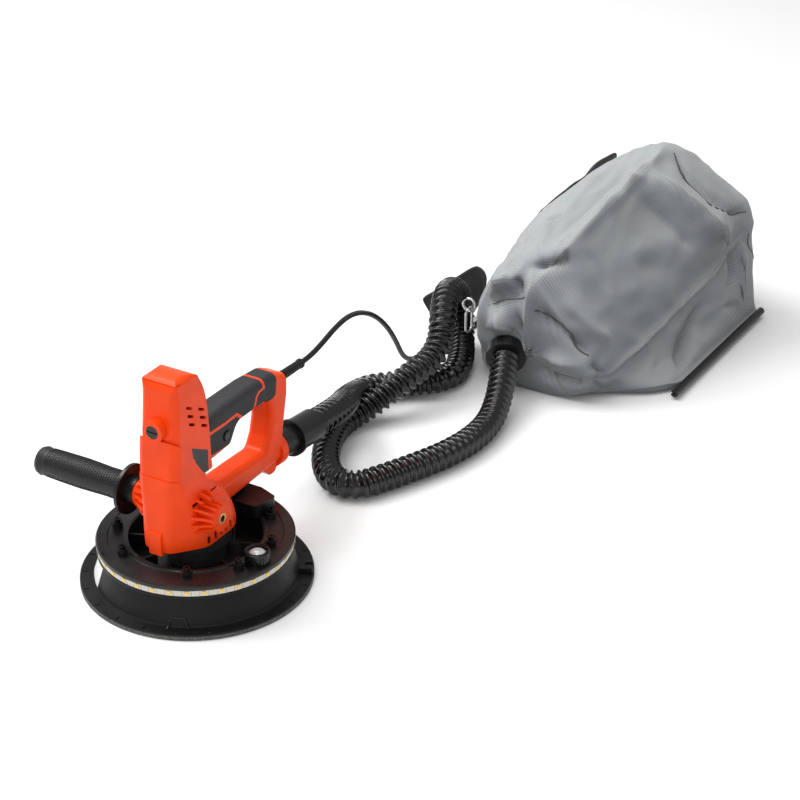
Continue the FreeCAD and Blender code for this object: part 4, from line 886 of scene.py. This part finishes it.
BAG_FINDER = surface_finder(BAG)
SEAM_DARK = Surface("seam_thread", (0.055, 0.058, 0.06), 0.8)
SEAM_DARK.bump(SEAM_DARK.noise(900, 2), 0.0002, 0.6)
for number, (line, half) in enumerate(BAG_SEAMS):
    thread_line("bag_seam_%d" % (number + 1), BAG_FINDER,
                [Vector(q) * 0.001 for q in line], half, SEAM_DARK.material)

# --- shoulder strap -----------------------------------------------------------------------
PAD_START = Vector((0.650, 0.080, 0))
PAD_ALONG = Vector((0.945, -0.327, 0)).normalized()
PAD_ACROSS = Vector((0, 0, 1)).cross(PAD_ALONG)
# Outline of the pad in metres, (along, up): computed by a program, then adjusted.
PAD_EDGE = [(0.001, 0.057), (0.022, 0.0625), (0.044, 0.0665), (0.068, 0.0725), (0.086, 0.0765),
            (0.098, 0.0765), (0.108, 0.070), (0.115, 0.061), (0.118, 0.050), (0.115, 0.033),
            (0.104, 0.016), (0.090, 0.003), (0.070, 0.001), (0.040, 0.001), (0.026, 0.003),
            (0.012, 0.034)]
WEBBING = [((769, 46, 32), (0, 0, 13)), ((794, 41, 28), (-1, 0, 13)),
           ((835, 38, 28), (0, 0, 13)), ((880, 34, 34), (-2, 0, 13)),
           ((915, 24, 54), (-6, 0, 12)), ((936, 2, 90), (-10, -2, 9)),
           ((938, -32, 126), (-11, -4, 6)), ((924, -60, 168), (-12, -6, 8)),
           ((905, -74, 203), (-5, -5, 13)), ((885, -66, 202), (0, -5, 13)),
           ((867, -55, 193), (6, -3, 12)), ((861, -38, 171), (11, -2, 6)),
           ((859, -6, 137), (11, 0, 5)), ((858, 17, 110), (11, 0, 5))]
WEBBING_HALF_THICK = 0.0010
WEBBING_CLEAR = 0.0030    # least gap between the webbing's middle and the bag
WEBBING_NEAR = 0.03       # how near the bag has to be to lift the webbing


def make_pad():
    """Padded part of the strap: crowned, with a bound edge and a stitched channel."""
    edge = []
    count = len(PAD_EDGE)
    corners = [Vector(p) for p in PAD_EDGE]
    for i in range(count):
        a, b = corners[i], corners[(i + 1) % count]
        ta = (b - corners[i - 1]) * 0.4
        tb = (corners[(i + 2) % count] - a) * 0.4
        edge += [hermite(a, b, ta, tb, k / 6) for k in range(6)]
    middle = sum(edge, Vector((0, 0))) / len(edge)
    rings = 16
    half_thick = 0.0042
    points = []
    for side in (-1, 1):
        for r in range(rings + 1):
            t = (r / rings) if side < 0 else 1 - r / rings
            stitch = math.exp(-((t - 0.86) / 0.022) ** 2)
            thick = half_thick * math.sqrt(max(1 - t ** 8, 0)) - 0.0011 * stitch
            for p in edge:
                q = middle + (p - middle) * (0.02 + 0.98 * t)
                lump = 0.0007 * noise.noise(Vector((q.x * 60, q.y * 60, side * 3.0)))
                centre = PAD_START + PAD_ALONG * q.x + PAD_ACROSS * half_thick
                points.append(centre + PAD_ACROSS * side * (thick + lump * (1 - t))
                              + Vector((0, 0, q.y)))
    faces = grid_faces(2 * (rings + 1), len(edge), True)
    faces.append(list(range(len(edge)))[::-1])
    faces.append(list(range((2 * rings + 1) * len(edge), (2 * rings + 2) * len(edge))))
    pad = mesh_piece("shoulder_pad_soft", points, faces, M["strap_black"])
    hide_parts("shoulder_pad")


def make_webbing():
    """Flat strap that climbs behind the bag, as one strip kept clear of the cloth."""
    rows = []
    for i in range(len(WEBBING) - 1):
        (c0, h0), (c1, h1) = WEBBING[i], WEBBING[i + 1]
        before, after = WEBBING[max(i - 1, 0)][0], WEBBING[min(i + 2, len(WEBBING) - 1)][0]
        c0, h0, c1, h1 = (Vector(v) * 0.001 for v in (c0, h0, c1, h1))
        ta = (c1 - Vector(before) * 0.001) * 0.5
        tb = (Vector(after) * 0.001 - c0) * 0.5
        steps = 10
        for k in range(steps + (i == len(WEBBING) - 2)):
            rows.append((hermite(c0, c1, ta, tb, k / steps), h0.lerp(h1, k / steps)))
    profile = [(1.0, 0.0), (0.97, 0.9), (0.5, 1.0), (0.0, 1.0), (-0.5, 1.0), (-0.97, 0.9),
               (-1.0, 0.0), (-0.97, -0.9), (-0.5, -1.0), (0.0, -1.0), (0.5, -1.0), (0.97, -0.9)]
    points = []
    for i, (centre, half) in enumerate(rows):
        along = rows[min(i + 1, len(rows) - 1)][0] - rows[max(i - 1, 0)][0]
        across = along.cross(half).normalized() * WEBBING_HALF_THICK
        for u, v in profile:
            middle = centre + half * u
            place, normal, _, distance = BAG_FINDER.find_nearest(middle)
            gap = (middle - place).dot(normal)
            out = max(0.0, WEBBING_CLEAR - gap) if distance < WEBBING_NEAR else 0.0
            points.append(middle + normal * out + across * v)
    faces = grid_faces(len(rows), len(profile), True)
    faces.append(list(range(len(profile)))[::-1])
    faces.append(list(range((len(rows) - 1) * len(profile), len(rows) * len(profile))))
    strap = mesh_piece("webbing", points, faces, M["webbing_brown"])
    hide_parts("strap_webbing")


make_pad()
make_webbing()


# --- lead's strain relief -----------------------------------------------------------------
def make_relief():
    """Ribbed sleeve round the lead where it leaves the handle."""
    start, end = Vector((0.1615, 0, 0.1772)), Vector((0.2233, 0, 0.1747))
    length = (end - start).length
    steps, around = 124, 36
    rib_pitch, rib_depth = 0.0052, 0.0009
    path = [start.lerp(end, i / steps) for i in range(steps + 1)]

    def radius(travelled, turn):
        t = travelled / length
        base = 0.0074 - 0.0012 * smoothstep(0.0, 0.20, t) - 0.0008 * t
        wave = (travelled / rib_pitch) % 1.0
        ribbed = 0.18 < t < 0.93 and abs(math.sin(turn)) > 0.35
        groove = rib_depth if ribbed and wave < 0.34 else 0
        collar = 0.0008 if t > 0.95 else 0
        return base - groove + collar

    points, faces = tube_along(path, around, radius)
    faces.append(list(range(around))[::-1])
    faces.append(list(range(steps * around, (steps + 1) * around)))
    relief = mesh_piece("lead_relief", points, faces, M["black_moulded"])
    auto_smooth(relief, 40)
    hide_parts("cord_relief")


make_relief()


# --- side handle --------------------------------------------------------------------------
def make_handle_bumps():
    """Rows of small grip bumps along the top and the underside of the side handle."""
    axis_x, axis_z = -0.025, 0.107
    profile = [(0.080, 0.0166), (0.100, 0.0162), (0.135, 0.0174), (0.165, 0.0170),
               (0.186, 0.0164)]

    def grip_radius(y):
        for (y0, r0), (y1, r1) in zip(profile, profile[1:]):
            if y <= y1:
                return r0 + (r1 - r0) * (y - y0) / (y1 - y0)
        return profile[-1][1]

    first_row, row_pitch, rows = 0.0835, 0.0033, 31
    turn_pitch = 9            # degrees between two bumps of a row
    corners = ((1, 0), (0.5, 1), (-0.5, 1), (-1, 0), (-0.5, -1), (0.5, -1))
    points, faces = [], []
    for row in range(rows):
        y = first_row + row_pitch * row
        for k in range(-7, 8):
            for middle in (-90, 90):
                offset = turn_pitch / 2 if row % 2 else 0
                turn = math.radians(middle + turn_pitch * k + offset)
                r = grip_radius(y)
                out = Vector((math.cos(turn), 0, math.sin(turn)))
                side = Vector((-math.sin(turn), 0, math.cos(turn)))
                base = Vector((axis_x, y, axis_z)) + out * (r - 0.0003)
                first = len(points)
                for u, v in corners:
                    points.append(base + side * u * 0.0011 + Vector((0, v * 0.0010, 0)))
                for u, v in corners:
                    points.append(base + out * 0.0012 + side * u * 0.0006
                                  + Vector((0, v * 0.0006, 0)))
                for i in range(6):
                    j = (i + 1) % 6
                    faces.append((first + i, first + j, first + 6 + j, first + 6 + i))
                faces.append([first + 6 + i for i in range(6)])
    mesh_piece("handle_bumps", points, faces, M["knurled_black"], smooth=False)


make_handle_bumps()


# --- small marks on the skirt -------------------------------------------------------------
SKIRT_FINDER = surface_finder(frame["nodes"]["skirt"])


def skin_patch(name, finder, corners, rows, columns, lift, material):
    """A thin four-cornered patch that follows a surface."""
    a, b, c, d = (Vector(p) for p in corners)
    points = []
    for r in range(rows):
        for k in range(columns):
            u, v = k / (columns - 1), r / (rows - 1)
            p = a.lerp(b, u).lerp(d.lerp(c, u), v)
            place, normal = finder.find_nearest(p)[:2]
            points.append(place + normal * lift)
    return mesh_piece(name, points, grid_faces(rows, columns), material)


STICKER = Surface("blank_sticker", (0.74, 0.75, 0.76), 0.45)
STICKER.grade(STICKER.noise(120, 3), 0.94, 1.04)
STICKER.bump(STICKER.noise(300, 2), 0.0001, 0.3)
skin_patch("sticker", SKIRT_FINDER,
           [(-0.0636, 0.1018, 0.0110), (-0.0946, 0.0739, 0.0110),
            (-0.0883, 0.0690, 0.0370), (-0.0593, 0.0950, 0.0370)],
           16, 16, 0.0004, STICKER.material)
# The corners of these marks were computed by a program.
for number, line in enumerate((
        [(-0.1180, -0.0420, 0.0085), (-0.1080, -0.0410, 0.0170)],
        [(-0.1080, -0.0410, 0.0170), (-0.1020, -0.0550, 0.0170)],
        [(-0.1020, -0.0550, 0.0170), (-0.1070, -0.0640, 0.0085)])):
    thread_line("skirt_mark_%d" % (number + 1), SKIRT_FINDER, line, 0.0010,
                M["black_gloss"])
